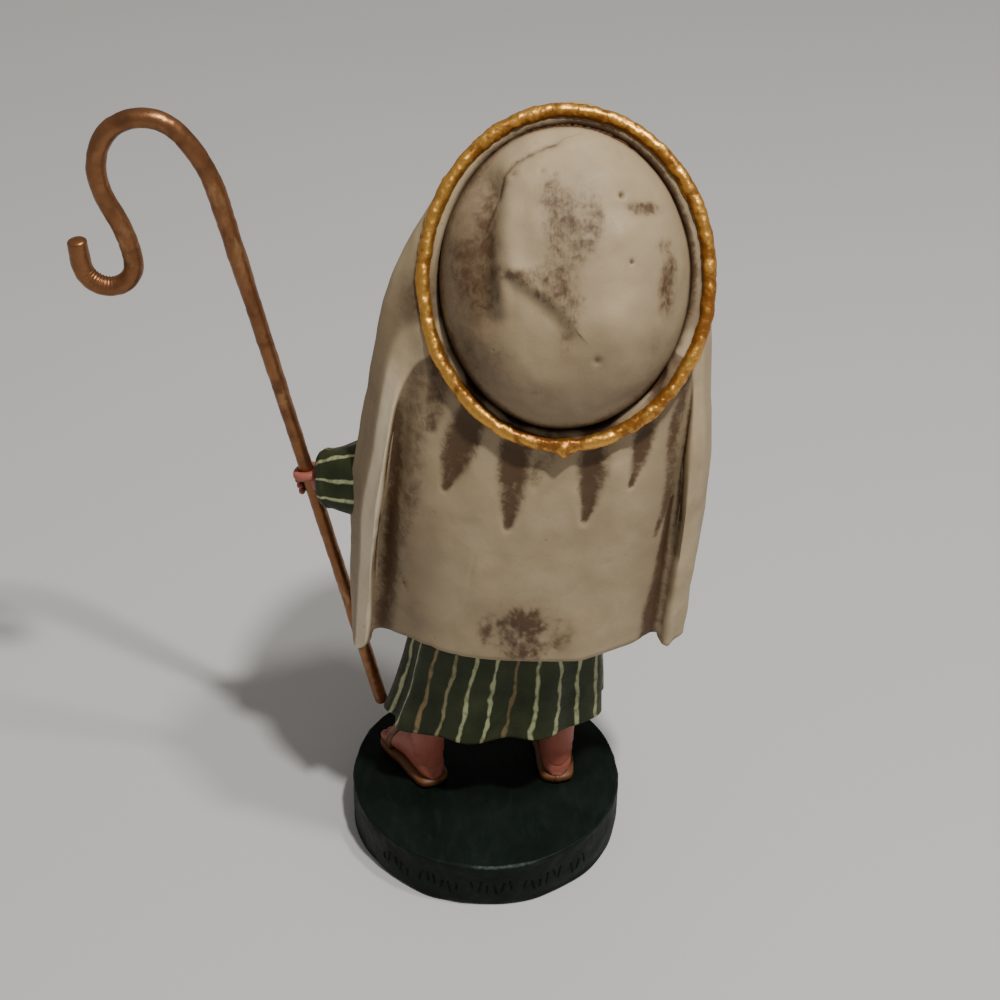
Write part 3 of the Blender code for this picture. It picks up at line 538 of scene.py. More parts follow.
CORD_CENTRE = np.array((-0.0132, -0.0015, 0.1280 + BASE_HEIGHT))
CORD_TILT = math.radians(60.0)
CORD_HALF_WIDTH = 0.0270
CORD_HALF_LENGTH = 0.0318
CORD_RADIUS = 0.0014
ACROSS = np.array((1.0, 0.0, 0.0))
SLOPE = np.array((0.0, -math.cos(CORD_TILT), math.sin(CORD_TILT)))
OUTWARD = np.array((0.0, math.sin(CORD_TILT), math.cos(CORD_TILT)))


def cord_point(angle, grow=0.0, rise=0.0):
    """C + (w + grow)*sin(a)*across - (l + grow)*cos(a)*slope + rise*outward."""
    angle = np.radians(np.asarray(angle, dtype=float))
    grow = np.broadcast_to(grow, angle.shape)
    rise = np.broadcast_to(rise, angle.shape)
    return (CORD_CENTRE
            + np.multiply.outer((CORD_HALF_WIDTH + grow) * np.sin(angle), ACROSS)
            - np.multiply.outer((CORD_HALF_LENGTH + grow) * np.cos(angle), SLOPE)
            + np.multiply.outer(rise, OUTWARD))


def make_cord():
    """Lumpy round cord: r = R*(1 + lumps), with a small knot at the nape."""
    count = 640
    angles = np.arange(count) * 360.0 / count
    wander = 0.00022 * lumps(cord_point(angles), 0.011, 3)
    wander = wander + 0.0008 * np.clip(-np.sin(np.radians(angles)), 0, 1) ** 2
    rise = 0.0002 + 0.00022 * lumps(cord_point(angles), 0.009, 4)
    centre = cord_point(angles, wander, rise)
    out = unit(cord_point(angles, 1.0) - cord_point(angles))
    turn = whole_turn(28)
    ring = (np.cos(turn)[None, :, None] * out[:, None]
            + np.sin(turn)[None, :, None] * OUTWARD)
    rough = centre[:, None] + CORD_RADIUS * ring
    lump = (0.12 * lumps(rough, 0.0034, 5) + 0.10 * lumps(rough, 0.0017, 6)
            + 0.08 * lumps(rough, 0.0009, 7) + 0.05 * lumps(rough, 0.0005, 8))
    away = (angles + 180.0) % 360.0 - 180.0
    knot = bell(away + 1.5, 3.0)[:, None] * (
        0.35 + 1.0 * np.clip(np.cos(turn - 0.3), 0, 1))[None]
    rows = centre[:, None] + CORD_RADIUS * (1.0 + lump + 0.55 * knot)[..., None] * ring
    # Painted shade: dents between lumps, the side towards the cloth, the inner side and the
    # figure's right side are darker, and the left side is painted lighter.
    sunk_and_shaded = np.clip(-2.8 * lump, -0.4, 1.0) + 0.35 * ease(-np.sin(turn), -0.2, 0.9)[None]
    sunk_and_shaded = sunk_and_shaded + 0.40 * ease(-np.cos(turn), 0.0, 0.9)[None] + 0.30 * lumps(rough, 0.0075, 9)
    side = np.sin(np.radians(angles))[:, None]
    sunk_and_shaded = sunk_and_shaded + 0.16 * ease(-side, 0.1, 0.8) - 0.12 * ease(side, 0.2, 0.9)
    make_piece("head_cord", rows, MATERIAL["gilt"], "figure", loop=True,
               fields={"sunk_and_shaded": sunk_and_shaded})


# Crown of the head cloth, in millimetres across and up the slope from the
# cord's centre: washes as (across, up, half-width, half-height, strength),
# pits as (across, up, size, depth), swells and hollows as (across, up,
# half-width, half-height, height), and the lines of its creases

CROWN_RISE = 0.0160
CROWN_WASHES = (
    (3.6, 15.0, 2.6, 3.4, 0.62), (-0.6, 12.6, 3.6, 4.2, 0.72), (-5.0, 11.6, 1.8, 3.4, 0.72),
    (-3.4, 6.8, 3.4, 3.2, 0.58), (2.2, 8.6, 3.2, 3.4, 0.55), (0.6, 3.4, 4.0, 3.0, 0.46),
    (2.6, -1.6, 4.6, 3.2, 0.62), (-1.0, -4.0, 3.2, 3.6, 0.56), (-0.2, -11.0, 2.0, 4.6, 0.44),
    (8.4, 0.4, 3.4, 1.5, 0.55), (15.6, 15.0, 2.0, 5.0, 0.60), (16.0, 7.0, 2.8, 6.4, 0.78),
    (15.0, -3.0, 2.4, 5.4, 0.70), (20.4, 2.0, 1.6, 6.0, 0.62), (-14.0, 13.2, 3.2, 1.5, 0.92),
    (-18.9, -1.6, 1.7, 5.0, 1.15), (-17.6, 6.4, 1.6, 1.8, 0.50), (-19.6, 3.6, 1.2, 1.4, 0.40),
    (-17.0, -12.0, 1.2, 3.0, 0.34), (4.0, -22.0, 6.0, 1.6, 0.30), (12.0, -16.0, 4.0, 5.0, 0.30),
)
CROWN_PITS = (
    (-9.8, 15.5, 0.62, 0.70), (-11.8, 3.3, 0.55, 0.40), (-6.1, -15.1, 0.75, 0.50),
    (10.2, 19.0, 0.75, 0.30), (5.0, 19.6, 0.6, 0.22), (2.6, 19.0, 0.5, 0.20),
)
CROWN_SWELLS = (
    (-8.5, -9.0, 3.2, 6.5, 0.55), (-9.5, 8.5, 2.4, 3.0, 0.35), (-14.5, -2.0, 3.0, 6.0, -0.45),
    (-6.0, 19.0, 6.0, 3.0, 0.4), (6.5, 9.5, 2.2, 6.0, 0.4), (5.5, -13.0, 5.5, 5.0, -0.5),
    (19.0, -8.0, 2.6, 6.0, -0.4), (-12.6, 13.0, 4.0, 1.4, -0.35),
)
CREASE_ARC = ((13.6, 15.5), (12.4, 18.9), (9.1, 21.8), (5.4, 24.0), (2.6, 25.2))
HOLLOW_LINE = ((15.5, 17.0), (16.2, 8.6), (15.8, -1.0), (14.8, -7.5))
STEP_LINE = ((13.0, 1.6), (10.5, 0.3), (5.8, -3.1), (1.6, -5.8), (-1.8, -9.4))


def off_line(x, v, line):
    """Distance from a broken line, and on which side of it each point lies."""
    best = np.full(x.shape, 1e9)
    side = np.zeros(x.shape)
    for (x0, v0), (x1, v1) in zip(line[:-1], line[1:]):
        dx, dv = x1 - x0, v1 - v0
        share = np.clip(((x - x0) * dx + (v - v0) * dv) / (dx * dx + dv * dv), 0, 1)
        gap = np.hypot(x - x0 - share * dx, v - v0 - share * dv)
        nearer = gap < best
        best = np.where(nearer, gap, best)
        side = np.where(nearer, np.sign((v - v0) * dx - (x - x0) * dv), side)
    return best, side


def make_crown():
    """Dome rise*sqrt(1 - s^2.4) over the oval, dented as if modelled by hand."""
    share = np.concatenate(([0.80, 0.95], np.linspace(1.0, 0.004, 160) ** 0.72))
    turn = whole_turn(360)
    wide, tall = CORD_HALF_WIDTH - 0.0029, CORD_HALF_LENGTH - 0.0029
    x = share[:, None] * wide * np.sin(turn)
    v = -share[:, None] * tall * np.cos(turn)
    rise = CROWN_RISE * np.sqrt(np.clip(1.0 - share ** 2.4, 0, 1)) - 0.0012
    rise = np.where(np.arange(len(share)) < 2, -0.0055, rise)[:, None]
    place = CORD_CENTRE + (x[..., None] * ACROSS + v[..., None] * SLOPE
                           + rise[..., None] * OUTWARD)
    mm_x, mm_v = x * 1000.0, v * 1000.0
    inside = 1.0 - ease(share, 0.90, 1.0)[:, None]
    push = (0.00060 * lumps(place, 0.0120, 11) + 0.00036 * lumps(place, 0.0060, 12)
            + 0.00014 * lumps(place, 0.0028, 13)) * (0.2 + 0.8 * inside)
    gap, side = off_line(mm_x, mm_v, CREASE_ARC)
    arc_crease_shade = bell(gap, 1.0) * (1.0 - ease(mm_x, 13.0, 15.5))
    push -= 0.0005 * bell(gap, 1.3) * inside
    push -= 0.0009 * bell(gap, 5.0) * ease(-side * gap, -0.6, 0.8) * inside
    gap = off_line(mm_x, mm_v, HOLLOW_LINE)[0]
    push -= 0.0020 * np.exp(-(gap / 3.2) ** 2) * inside
    push += 0.0008 * np.exp(-((mm_x - 10.6) / 2.6) ** 2 - ((mm_v - 8.0) / 8.0) ** 2) * inside
    gap, side = off_line(mm_x, mm_v, STEP_LINE)
    step_shadow = bell(gap, 1.2)
    inside_step = inside * ease(mm_x, -5.0, 3.0) * (1.0 - ease(mm_x, 9.5, 12.5))
    push -= 0.0011 * np.exp(-(gap / 6.0) ** 2) * ease(side * gap, -1.8, 2.8) * inside_step
    push += 0.0006 * np.exp(-(gap / 4.0) ** 2) * ease(-side * gap, -1.6, 1.6) * inside_step
    for x0, v0, size_x, size_v, high in CROWN_SWELLS:
        push += 0.0015 * high * np.exp(-((mm_x - x0) / size_x) ** 2
                                      - ((mm_v - v0) / size_v) ** 2) * inside
    wash = np.zeros_like(mm_x)
    for x0, v0, half_x, half_v, much in CROWN_WASHES:
        spot = np.exp(-(np.abs(mm_x - x0) / half_x) ** 2.4 - (np.abs(mm_v - v0) / half_v) ** 2.4)
        wash = wash + much * spot * (1.0 - 0.55 * np.clip(wash, 0, 1))
    for x0, v0, size, deep in CROWN_PITS:
        pit = np.exp(-((mm_x - x0) ** 2 + (mm_v - v0) ** 2) / size ** 2)
        push -= 0.001 * deep * pit
        wash = wash + 1.6 * deep * pit
    thick = (1.0 + 0.30 * lumps(place, 0.0028, 14) + 0.26 * lumps(place, 0.0012, 15)
             + 0.20 * lumps(place, 0.0006, 16))
    # The crease arc and the facet step carry dark lines of painted shade.
    wash = (0.88 * wash + 0.55 * arc_crease_shade + 0.16 * step_shadow) * thick
    rows = place - push[..., None] * grid_normals(place)
    # Painted shade with brown wash in the groove round the crown's rim, strongest on the lower
    # left; the hidden rows under the rim are dark.
    lower_left_shade = 0.5 + 0.5 * np.cos(turn - math.radians(35.0))
    edge = ease(share, 0.955, 0.998)[:, None]
    crease_shade = edge * (0.35 + 0.65 * lower_left_shade)[None]
    hidden = (np.arange(len(share)) < 2)[:, None]
    crease_shade = np.where(hidden, 0.35 + 0.65 * lower_left_shade, crease_shade)
    wash = np.clip(wash, 0.0, 0.95) + 0.7 * ease(share, 0.93, 0.985)[:, None] * lower_left_shade
    wash = np.maximum(wash, 0.8 * ease(share, 0.970, 0.999)[:, None])
    wash = np.where(hidden, 0.8, wash)
    # Glaze of painted shade: heavier on the figure's left and towards the bottom, some on the right
    # edge, along the hollow and in the middle, a little everywhere, and lifted along the lit ridge
    # near x = 11 mm.
    shade_glaze = 0.62 * ease(mm_x, 6.0, 19.0) * (0.55 + 0.45 * ease(mm_v, -26.0, 6.0))
    shade_glaze = shade_glaze + 0.42 * ease(-mm_v, 0.0, 22.0) + 0.34 * ease(-mm_x, 6.0, 24.0)
    shade_glaze = shade_glaze + 0.85 * np.exp(-((mm_x - 16.4) / 3.2) ** 2 - ((mm_v - 1.5) / 9.5) ** 2)
    shade_glaze = shade_glaze + 0.28 * np.exp(-((mm_x - 0.6) / 7.5) ** 2 - ((mm_v - 5.0) / 13.0) ** 2)
    shade_glaze = np.clip(shade_glaze + 0.06, 0.0, 1.0) * (1.0 - 0.5 * bell(mm_x - 11.2, 1.6)
                                               * ease(mm_v, 0.0, 4.0))
    lay = np.stack((mm_x / 1000.0, mm_v / 1000.0, np.zeros_like(mm_x)), axis=-1)
    make_piece("crown", rows, MATERIAL["cream"], "figure",
               fields={"wash": wash, "crease_shade": crease_shade, "shade_glaze": shade_glaze, "lay": lay})


# Head cloth outside the cord: stations are angles round the cord from nape to
# brow; the close pairs make the hard edges of the side pleats.  Heights are
# above the base's top

STATIONS = (0, 20, 40, 50, 55, 59, 61.5, 63, 68.5, 70.5, 76, 84, 94, 108, 124, 141, 160, 180)
EDGE_LEFT = np.array((
    (-8.0, 17.2, 47.5), (2.0, 16.5, 47.7), (13.4, 13.0, 48.2), (19.2, 9.8, 48.5),
    (21.6, 7.8, 48.0), (23.6, 6.2, 46.9), (24.9, 6.4, 46.0), (25.6, 7.0, 44.8),
    (27.4, 5.2, 40.4), (28.2, 3.8, 39.0), (29.3, 1.4, 38.6), (30.2, -2.0, 40.4),
    (30.4, -5.6, 44.5), (29.6, -8.0, 64.0), (22.6, -13.7, 92.0), (10.4, -21.5, 112.0),
    (3.2, -25.6, 136.0), (-13.2, -26.6, 150.8))) / 1000.0
EDGE_RIGHT = np.array((
    (-8.0, 17.2, 47.5), (-18.0, 16.2, 47.5), (-27.4, 12.2, 48.0), (-31.8, 9.4, 48.0),
    (-33.4, 7.8, 47.8), (-35.0, 6.3, 47.3), (-36.4, 6.3, 46.6), (-37.2, 6.8, 44.6),
    (-40.0, 4.4, 43.8), (-41.3, 2.8, 43.5), (-42.0, 0.2, 43.4), (-42.4, -3.0, 43.4),
    (-42.6, -6.2, 45.0), (-43.0, -8.6, 64.0), (-39.6, -14.0, 92.0), (-37.0, -21.5, 112.0),
    (-29.6, -25.6, 136.0), (-13.2, -26.6, 150.8))) / 1000.0
FALL_LEFT = np.array((
    (-9.2, 16.0, 85.0), (3.0, 15.3, 85.0), (11.8, 12.8, 85.0), (16.4, 10.8, 85.0),
    (18.0, 9.0, 85.0), (19.7, 6.3, 85.0), (21.0, 6.5, 85.0), (21.7, 9.1, 85.0),
    (23.6, 8.5, 85.0), (24.5, 7.2, 85.0), (25.7, 4.4, 85.2), (26.9, 1.0, 86.0),
    (27.6, -1.4, 87.5), (25.3, -3.6, 94.0), (21.4, -7.2, 105.0), (16.0, -12.8, 121.0),
    (6.4, -20.5, 141.0), (-13.2, -25.0, 154.0))) / 1000.0
FALL_RIGHT = np.array((
    (-9.2, 16.0, 85.0), (-20.5, 15.2, 85.0), (-30.6, 12.2, 85.0), (-34.4, 9.8, 85.0),
    (-36.0, 8.2, 85.0), (-37.2, 5.8, 85.0), (-38.2, 6.0, 85.0), (-38.8, 7.8, 85.0),
    (-41.0, 6.6, 85.0), (-42.0, 5.6, 85.0), (-43.2, 2.8, 85.2), (-43.9, 0.4, 86.0),
    (-43.8, -1.8, 87.5), (-42.4, -4.0, 94.0), (-41.3, -6.6, 105.0), (-39.6, -12.0, 121.0),
    (-32.6, -20.5, 141.0), (-13.2, -25.0, 154.0))) / 1000.0
# Washes as lines of (x, height, half-width) in millimetres, with a strength:
# first those in the side pleats, then the leaf-shaped ones under the cord
PLEAT_WASHES = (
    (0.92, ((17.6, 136, 1.0), (18.9, 121, 1.5), (19.4, 105, 1.8), (19.7, 93, 1.9),
            (19.7, 81, 1.8), (20.3, 68, 1.9), (21.4, 57, 2.4), (22.6, 48.5, 2.0))),
    (0.42, ((15.6, 129, 2.4), (15.0, 107, 3.2), (15.6, 90, 2.8), (18.0, 73, 1.8))),
    (0.80, ((-39.6, 122, 0.8), (-37.7, 111, 1.2), (-35.6, 98, 1.4), (-35.5, 86, 1.3),
            (-34.4, 80, 1.1), (-33.2, 76, 0.6))),
    (1.05, ((-39.9, 114, 0.5), (-39.2, 99, 1.1), (-38.8, 93, 1.2), (-38.5, 85, 1.1),
            (-38.1, 77, 0.6))),
    (1.10, ((-36.2, 83, 0.8), (-35.4, 69, 1.5), (-34.2, 57, 1.9), (-33.4, 47, 1.9))),
    (0.45, ((-38.0, 80, 1.0), (-37.0, 66, 1.3), (-36.4, 50, 1.4))),
)
STREAKS = (
    (1.00, ((3.2, 110, 2.0), (4.6, 103, 2.9), (5.8, 99, 3.2), (7.4, 94, 2.6), (9.4, 88.5, 0.9))),
    (0.85, ((-4.8, 106, 2.6), (-4.7, 100, 3.2), (-4.3, 92, 3.1), (-3.9, 86, 2.2),
            (-3.5, 81.5, 1.0))),
    (0.42, ((-11.4, 102, 3.2), (-10.4, 97, 3.0), (-8.4, 91.5, 1.4))),
    (0.95, ((-20.4, 105, 3.6), (-20.0, 99, 3.1), (-19.7, 93, 2.8), (-19.2, 87, 1.9),
            (-18.7, 83, 0.9))),
    (0.78, ((-31.8, 113, 1.4), (-30.6, 105, 2.1), (-29.6, 99, 2.3), (-28.6, 94, 1.6),
            (-27.6, 90, 0.7))),
    (0.62, ((10.5, 115, 2.2), (11.3, 107, 2.6), (12.2, 100, 1.2))),
)
# Nicks in the cloth as (x, height, lean, half-width, half-height, depth)
NICKS = (
    (17.6, 62.5, 0.7, 0.45, 1.8, 0.30), (-9.5, 63.5, 0.0, 1.8, 0.35, 0.12),
    (-17.0, 66.0, -1.6, 0.4, 2.2, 0.10), (-24.0, 72.0, 1.2, 1.6, 0.4, 0.14),
    (3.5, 70.0, -0.3, 0.5, 4.5, 0.12), (12.0, 47.8, 0.0, 1.0, 0.8, 0.30),
    (6.6, 47.4, 0.0, 0.5, 0.7, 0.25),
)
# Smears near the hem as (x, height, half-width, half-height, strength)
SMEARS = (
    (-6.8, 56.0, 6.4, 6.6, 0.98), (-8.4, 49.2, 6.0, 1.8, 0.75), (-14.6, 54.5, 3.6, 4.6, 0.60),
    (0.2, 55.0, 2.4, 4.4, 0.55),
)


def station_row(left, right, angles):
    """Close a left and a right half-outline and read it at the angles."""
    knots = [-s for s in STATIONS[:0:-1]] + list(STATIONS[:-1])
    values = np.concatenate((right[:0:-1], left[:-1]))
    wrapped = (np.asarray(angles) + 180.0) % 360.0 - 180.0
    return smooth_through(knots, values, wrapped, period=360.0) + BASE_HEIGHT * UP


def stroke(x, height, line):
    """Brush stroke: 1 on a broken line, fading past its own half-width.

    Half-widths run evenly between the line's points, and the stroke is
    pointed at both ends.
    """
    best = np.zeros(x.shape)
    for (x0, h0, w0), (x1, h1, w1) in zip(line[:-1], line[1:]):
        dx, dh = x1 - x0, h1 - h0
        share = np.clip(((x - x0) * dx + (height - h0) * dh) / (dx * dx + dh * dh), 0, 1)
        gap = np.hypot(x - x0 - share * dx, height - h0 - share * dh)
        best = np.maximum(best, np.exp(-(gap / (w0 + (w1 - w0) * share)) ** 2.6))
    return best


def make_cloth():
    """Head cloth: strands from inside the cord over its lip out to the edge.

    P(a, t) is a cubic in t through the lip, the cord's oval, the roll outside
    it, the fall at shoulder height and the outer edge at each angle a.
    """
    around, down = 600, 112
    angles = np.arange(around) * 360.0 / around - 180.0
    side = np.sin(np.radians(angles))
    front = (1.0 - np.cos(np.radians(angles))) / 2.0
    left = np.clip(side, 0, 1) ** 1.5 * (1.0 - ease(angles, 86.0, 116.0))
    roll = 0.0026 - 0.0018 * front + 0.0036 * left - 0.0010 * np.clip(-side, 0, 1) ** 1.5
    drop = 0.0020 + 0.0024 * front
    keys = np.array((
        cord_point(angles, -0.0040, -0.0030),
        cord_point(angles, -0.0024, 0.0000),
        cord_point(angles, -0.0009, 0.0003),
        cord_point(angles, roll, -drop),
        station_row(FALL_LEFT, FALL_RIGHT, angles),
        station_row(EDGE_LEFT, EDGE_RIGHT, angles),
    ))
    shares = np.concatenate((np.linspace(-0.075, 0.0, 14)[:-1],
                             np.linspace(0.0, 1.0, down - 13) ** 1.1))
    sheet = smooth_through((-0.075, -0.035, 0.0, 0.16, 0.55, 1.0), keys, shares)
    normal = grid_normals(sheet)
    x, height = sheet[..., 0] * 1000.0, (sheet[..., 2] - BASE_HEIGHT) * 1000.0
    behind = ease(sheet[..., 1], -0.008, 0.001)
    run = np.cumsum(np.linalg.norm(np.diff(sheet, axis=0, prepend=sheet[:1]), axis=-1), axis=0)
    turn = np.broadcast_to(np.abs(angles), x.shape)
    push = np.zeros(sheet.shape[:2])
    wash = np.zeros_like(push)
    in_pleat = 1.0 - ease(turn, 61.8, 62.8)
    thick = (1.0 + 0.26 * lumps(sheet, 0.0026, 28) + 0.22 * lumps(sheet, 0.0011, 29)
             + 0.16 * lumps(sheet * np.array((1.0, 1.0, 0.25)), 0.0006, 30))
    for much, line in PLEAT_WASHES:
        wash = np.maximum(wash, much * stroke(x, height, line) * in_pleat * behind)
    # Painted shade in the valleys of both side pleats.
    crease_shade = 0.22 * bell(turn - 59.6, 1.9) * in_pleat * ease(shares, 0.12, 0.25)[:, None]
    for much, line in STREAKS:
        mark = stroke(x, height, line) * behind
        wash = np.maximum(wash, much * mark * thick)
        push -= 0.0007 * much * mark
    for x0, h0, half_x, half_h, much in SMEARS:
        spot = np.exp(-(np.abs(x - x0) / half_x) ** 2 - (np.abs(height - h0) / half_h) ** 2)
        wash = np.maximum(wash, much * spot * behind * (2.2 * thick - 1.2))
    for x0, h0, lean, long_x, long_h, deep in NICKS:
        nick = np.exp(-((x - x0 - lean * (height - h0) / 2.0) / long_x) ** 2
                      - ((height - h0) / long_h) ** 2) * behind
        push -= 0.001 * deep * nick
        wash = wash + 1.6 * deep * nick
    fold_x = 0.5 * lumps(sheet * np.array((1.0, 1.0, 0.12)), 0.0075, 34)
    push += 0.00045 * fold_x * behind * ease(height, 47.0, 60.0) * (1.0 - ease(turn, 52.0, 58.0))
    tail = ease(shares, 0.02, 0.12)[:, None]
    push += tail * (0.00045 * lumps(sheet, 0.0140, 21) + 0.00026 * lumps(sheet, 0.0062, 22)
                    + 0.00009 * lumps(sheet, 0.0026, 23))
    long = sheet * np.array((1.0, 1.0, 0.22))
    push += tail * 0.00040 * lumps(long, 0.0052, 24) * ease(shares, 0.1, 0.4)[:, None]
    push += 0.0002 * bell(shares + 0.02, 0.02)[:, None] * lumps(sheet, 0.004, 25)
    outer = sheet + push[..., None] * normal
    wobble = 0.0004 * lumps(sheet, 0.0075, 26) + 0.0002 * lumps(sheet, 0.003, 27)
    outer[..., 2] += wobble * ease(shares, 0.9, 1.0)[:, None]
    groove = 1.0 - ease(shares, -0.060, -0.030)
    # Painted shade, with brown wash, in the groove under the crown's rim, along the lip's far side,
    # in the band just under the cord, strongest on the lower left, and wherever the surface is
    # pushed in.
    lower_left_shade = 0.5 + 0.5 * np.cos(np.radians(angles - 35.0))
    upper = 1.0 - ease(shares, -0.030, -0.004)
    wash += upper[:, None] * np.clip(0.95 - 1.5 * lower_left_shade, 0.0, 0.9)
    wash += 0.8 * groove[:, None]
    crease_shade = crease_shade + groove[:, None] * (0.35 + 0.65 * lower_left_shade)
    wash += 0.50 * bell(shares - 0.025, 0.035)[:, None] * (0.6 + 0.4 * lower_left_shade)
    wash += 0.20 * ease(-push * 1000.0, 0.25, 0.8)
    # Painted highlight: the left pleat's ridge strip is painted paler.
    highlight_strip = ease(turn, 61.8, 63.0) * (1.0 - ease(turn, 71.0, 75.0)) * behind
    wash = wash - 0.95 * highlight_strip * ease(shares, 0.15, 0.4)[:, None] * (angles > 0)
    # Glaze of painted shade: on the figure's left back and far right back, on the left pleat's
    # outer face and a little on the right one, under the cord, and thinly everywhere but the pale
    # strip; the front gets an even thin coat.
    shade_glaze = 0.46 * ease(x, 6.0, 17.0) * in_pleat + 0.30 * ease(-x, 28.0, 35.0) * in_pleat
    shade_glaze = shade_glaze + 0.42 * ease(turn, 72.0, 77.0) * ease(angles, 0.0, 1.0)
    shade_glaze = shade_glaze + 0.12 * ease(turn, 69.5, 73.0) * ease(-angles, 0.0, 1.0)
    shade_glaze = shade_glaze + 0.35 * (1.0 - ease(shares, 0.03, 0.30))[:, None] * (1.0 - highlight_strip)
    shade_glaze = np.clip(shade_glaze + 0.12 * (1.0 - highlight_strip), 0.0, 0.85) * behind + 0.15 * (1.0 - behind)
    wall = 0.0024 - 0.0014 * ease(np.abs(angles), 84.0, 150.0)
    soft = normal.copy()
    for _ in range(14):
        soft = soft + (np.roll(soft, 4, axis=1) + np.roll(soft, -4, axis=1)) / 2
        padded = np.concatenate((soft[:3], soft, soft[-3:]))
        soft = unit(soft + (padded[:-6] + padded[6:]) / 2)
    inner = outer - wall[None, :, None] * soft
    keep = np.concatenate((np.arange(0, down, 4), [down - 1]))
    lip = (outer[-1] + inner[-1]) / 2 + 0.0005 * unit(outer[-1] - outer[-4])
    rows = np.concatenate((outer, lip[None], inner[keep][::-1]))
    count = len(keep) + 1
    lay_across = np.cumsum(np.linalg.norm(np.diff(outer, axis=1, prepend=outer[:, -1:]),
                                          axis=-1), axis=1)
    lay = np.stack((lay_across, run, np.zeros_like(run)), axis=-1)
    lay = np.concatenate((lay, np.repeat(lay[-1:], count, axis=0)))
    # The rows on the cloth's inside get wash and painted shade.
    extra = np.ones((count, around))
    make_piece("head_cloth", rows, MATERIAL["cream"], "figure", loop=True,
               fields={"wash": np.concatenate((np.clip(wash, -0.95, 1.1), 0.30 * extra)),
                       "shade_glaze": np.concatenate((shade_glaze, 0.30 * extra)),
                       "crease_shade": np.concatenate((np.clip(crease_shade, 0, 1), 0.10 * extra)),
                       "lay": lay})


# Robe

ROBE_LEVELS = np.array((
    (20.0, -1.8, -1.2, 24.0, 13.0), (29.0, -3.0, -1.0, 22.2, 12.8),
    (40.0, -4.2, -0.8, 20.7, 12.7), (56.0, -5.7, -0.6, 18.6, 12.8),
    (70.0, -7.0, -0.8, 18.6, 13.0), (82.0, -8.1, -1.8, 20.0, 12.6),
    (90.5, -9.2, -3.0, 16.5, 10.8), (97.0, -10.2, -4.6, 8.5, 8.0),
    (106.0, -11.6, -6.6, 7.2, 7.2))) / 1000.0
STRIPE_SPACING = 0.0046


def make_robe():
    """Robe: ovals through the levels plus folds d*(cos 9a + 0.35*cos 13a)."""
    around = 440
    turn = whole_turn(around)
    levels = np.concatenate((np.linspace(0.020, 0.076, 92), np.linspace(0.077, 0.106, 32)))
    sizes = smooth_through(ROBE_LEVELS[:, 0], ROBE_LEVELS[:, 1:], levels)
    loose = 1.0 - ease(levels, 0.020, 0.064)
    fold = 0.0008 * (0.35 + 0.65 * loose)[:, None] * (
        np.cos(9 * turn + 0.7) + 0.35 * np.cos(13 * turn))[None]
    fold = fold * (1.0 - ease(levels, 0.070, 0.080))[:, None]
    cosine = np.sign(np.cos(turn)) * np.abs(np.cos(turn)) ** 0.9
    sine = np.sign(np.sin(turn)) * np.abs(np.sin(turn)) ** 0.9
    x = sizes[:, 0:1] + (sizes[:, 2:3] + fold) * cosine
    y = sizes[:, 1:2] + (sizes[:, 3:4] + fold) * sine
    slant = -0.0021 * cosine[None] * (1.0 - ease(levels, 0.020, 0.044))[:, None]
    wave = 0.15 * fold * (1.0 - ease(levels, 0.020, 0.030))[:, None]
    z = levels[:, None] + slant - wave
    sheet = np.stack((x, y, z + BASE_HEIGHT), axis=-1)
    normal = -grid_normals(sheet)
    push = 0.00030 * lumps(sheet, 0.0100, 31) + 0.00014 * lumps(sheet, 0.0045, 32)
    push += 0.0004 * bell(levels - 0.0985, 0.0012)[:, None]
    sheet = sheet + push[..., None] * normal
    sheet[..., 2] += (0.00028 * lumps(sheet, 0.006, 33)
                      * (1.0 - ease(levels, 0.020, 0.026))[:, None])
    centre = sheet[0].mean(axis=0)
    inside = []
    for share, lift in ((0.60, 0.0042), (0.80, 0.0036), (0.90, 0.0012), (0.95, 0.0001),
                        (0.985, -0.00025)):
        loop = centre + (sheet[0] - centre) * share
        loop[:, 2] = sheet[0][:, 2] + lift
        inside.append(loop)
    rows = np.concatenate((inside, sheet))
    girth = np.cumsum(np.hypot(*(np.roll(sheet[40], -1, axis=0) - sheet[40])[:, :2].T))
    stripes = float(np.round(girth[-1] / STRIPE_SPACING))
    place = np.roll(girth, 1) / girth[-1] * math.tau
    place[0] = 0.0
    flat = np.zeros(rows.shape[:2])
    lap = np.stack((flat + np.cos(place), flat + np.sin(place), flat), axis=-1)
    shadow = 0.33 * ease(-fold, 0.0001, 0.0008)
    shadow = shadow + 0.55 * ease(levels, 0.040, 0.052)[:, None] * (y > 0.002)
    shadow = np.concatenate((np.full((5, around), 0.8), shadow))
    lay = np.stack((flat, flat + stripes, np.clip(shadow, 0, 1)), axis=-1)
    make_piece("robe", rows, MATERIAL["robe"], "figure",
               fields={"lay": lay, "lap": lap})


# Crook

CROOK_FOOT = np.array((0.0242, -0.0110, 0.0104 + BASE_HEIGHT))
CROOK_LEAN = math.radians(12.9)
CROOK_RUNS = (
    (0.1323, 0.0), (0.0143, 27.0), (0.0077, 51.0), (0.0103, 64.0), (0.0134, 53.0),
    (0.0131, -21.0), (0.0071, -79.0), (0.0096, -108.0), (0.0054, 5.0),
)
CROOK_KNOTS = (0.0920, 0.1080, 0.1250, 0.1420)
CROOK_BEND = np.array((0.0762, -0.0110, 0.1360))
FIST_DISTANCE = 0.0640
SHAFT = np.array((math.sin(CROOK_LEAN), 0.0, math.cos(CROOK_LEAN)))
FIST = CROOK_FOOT + SHAFT * FIST_DISTANCE


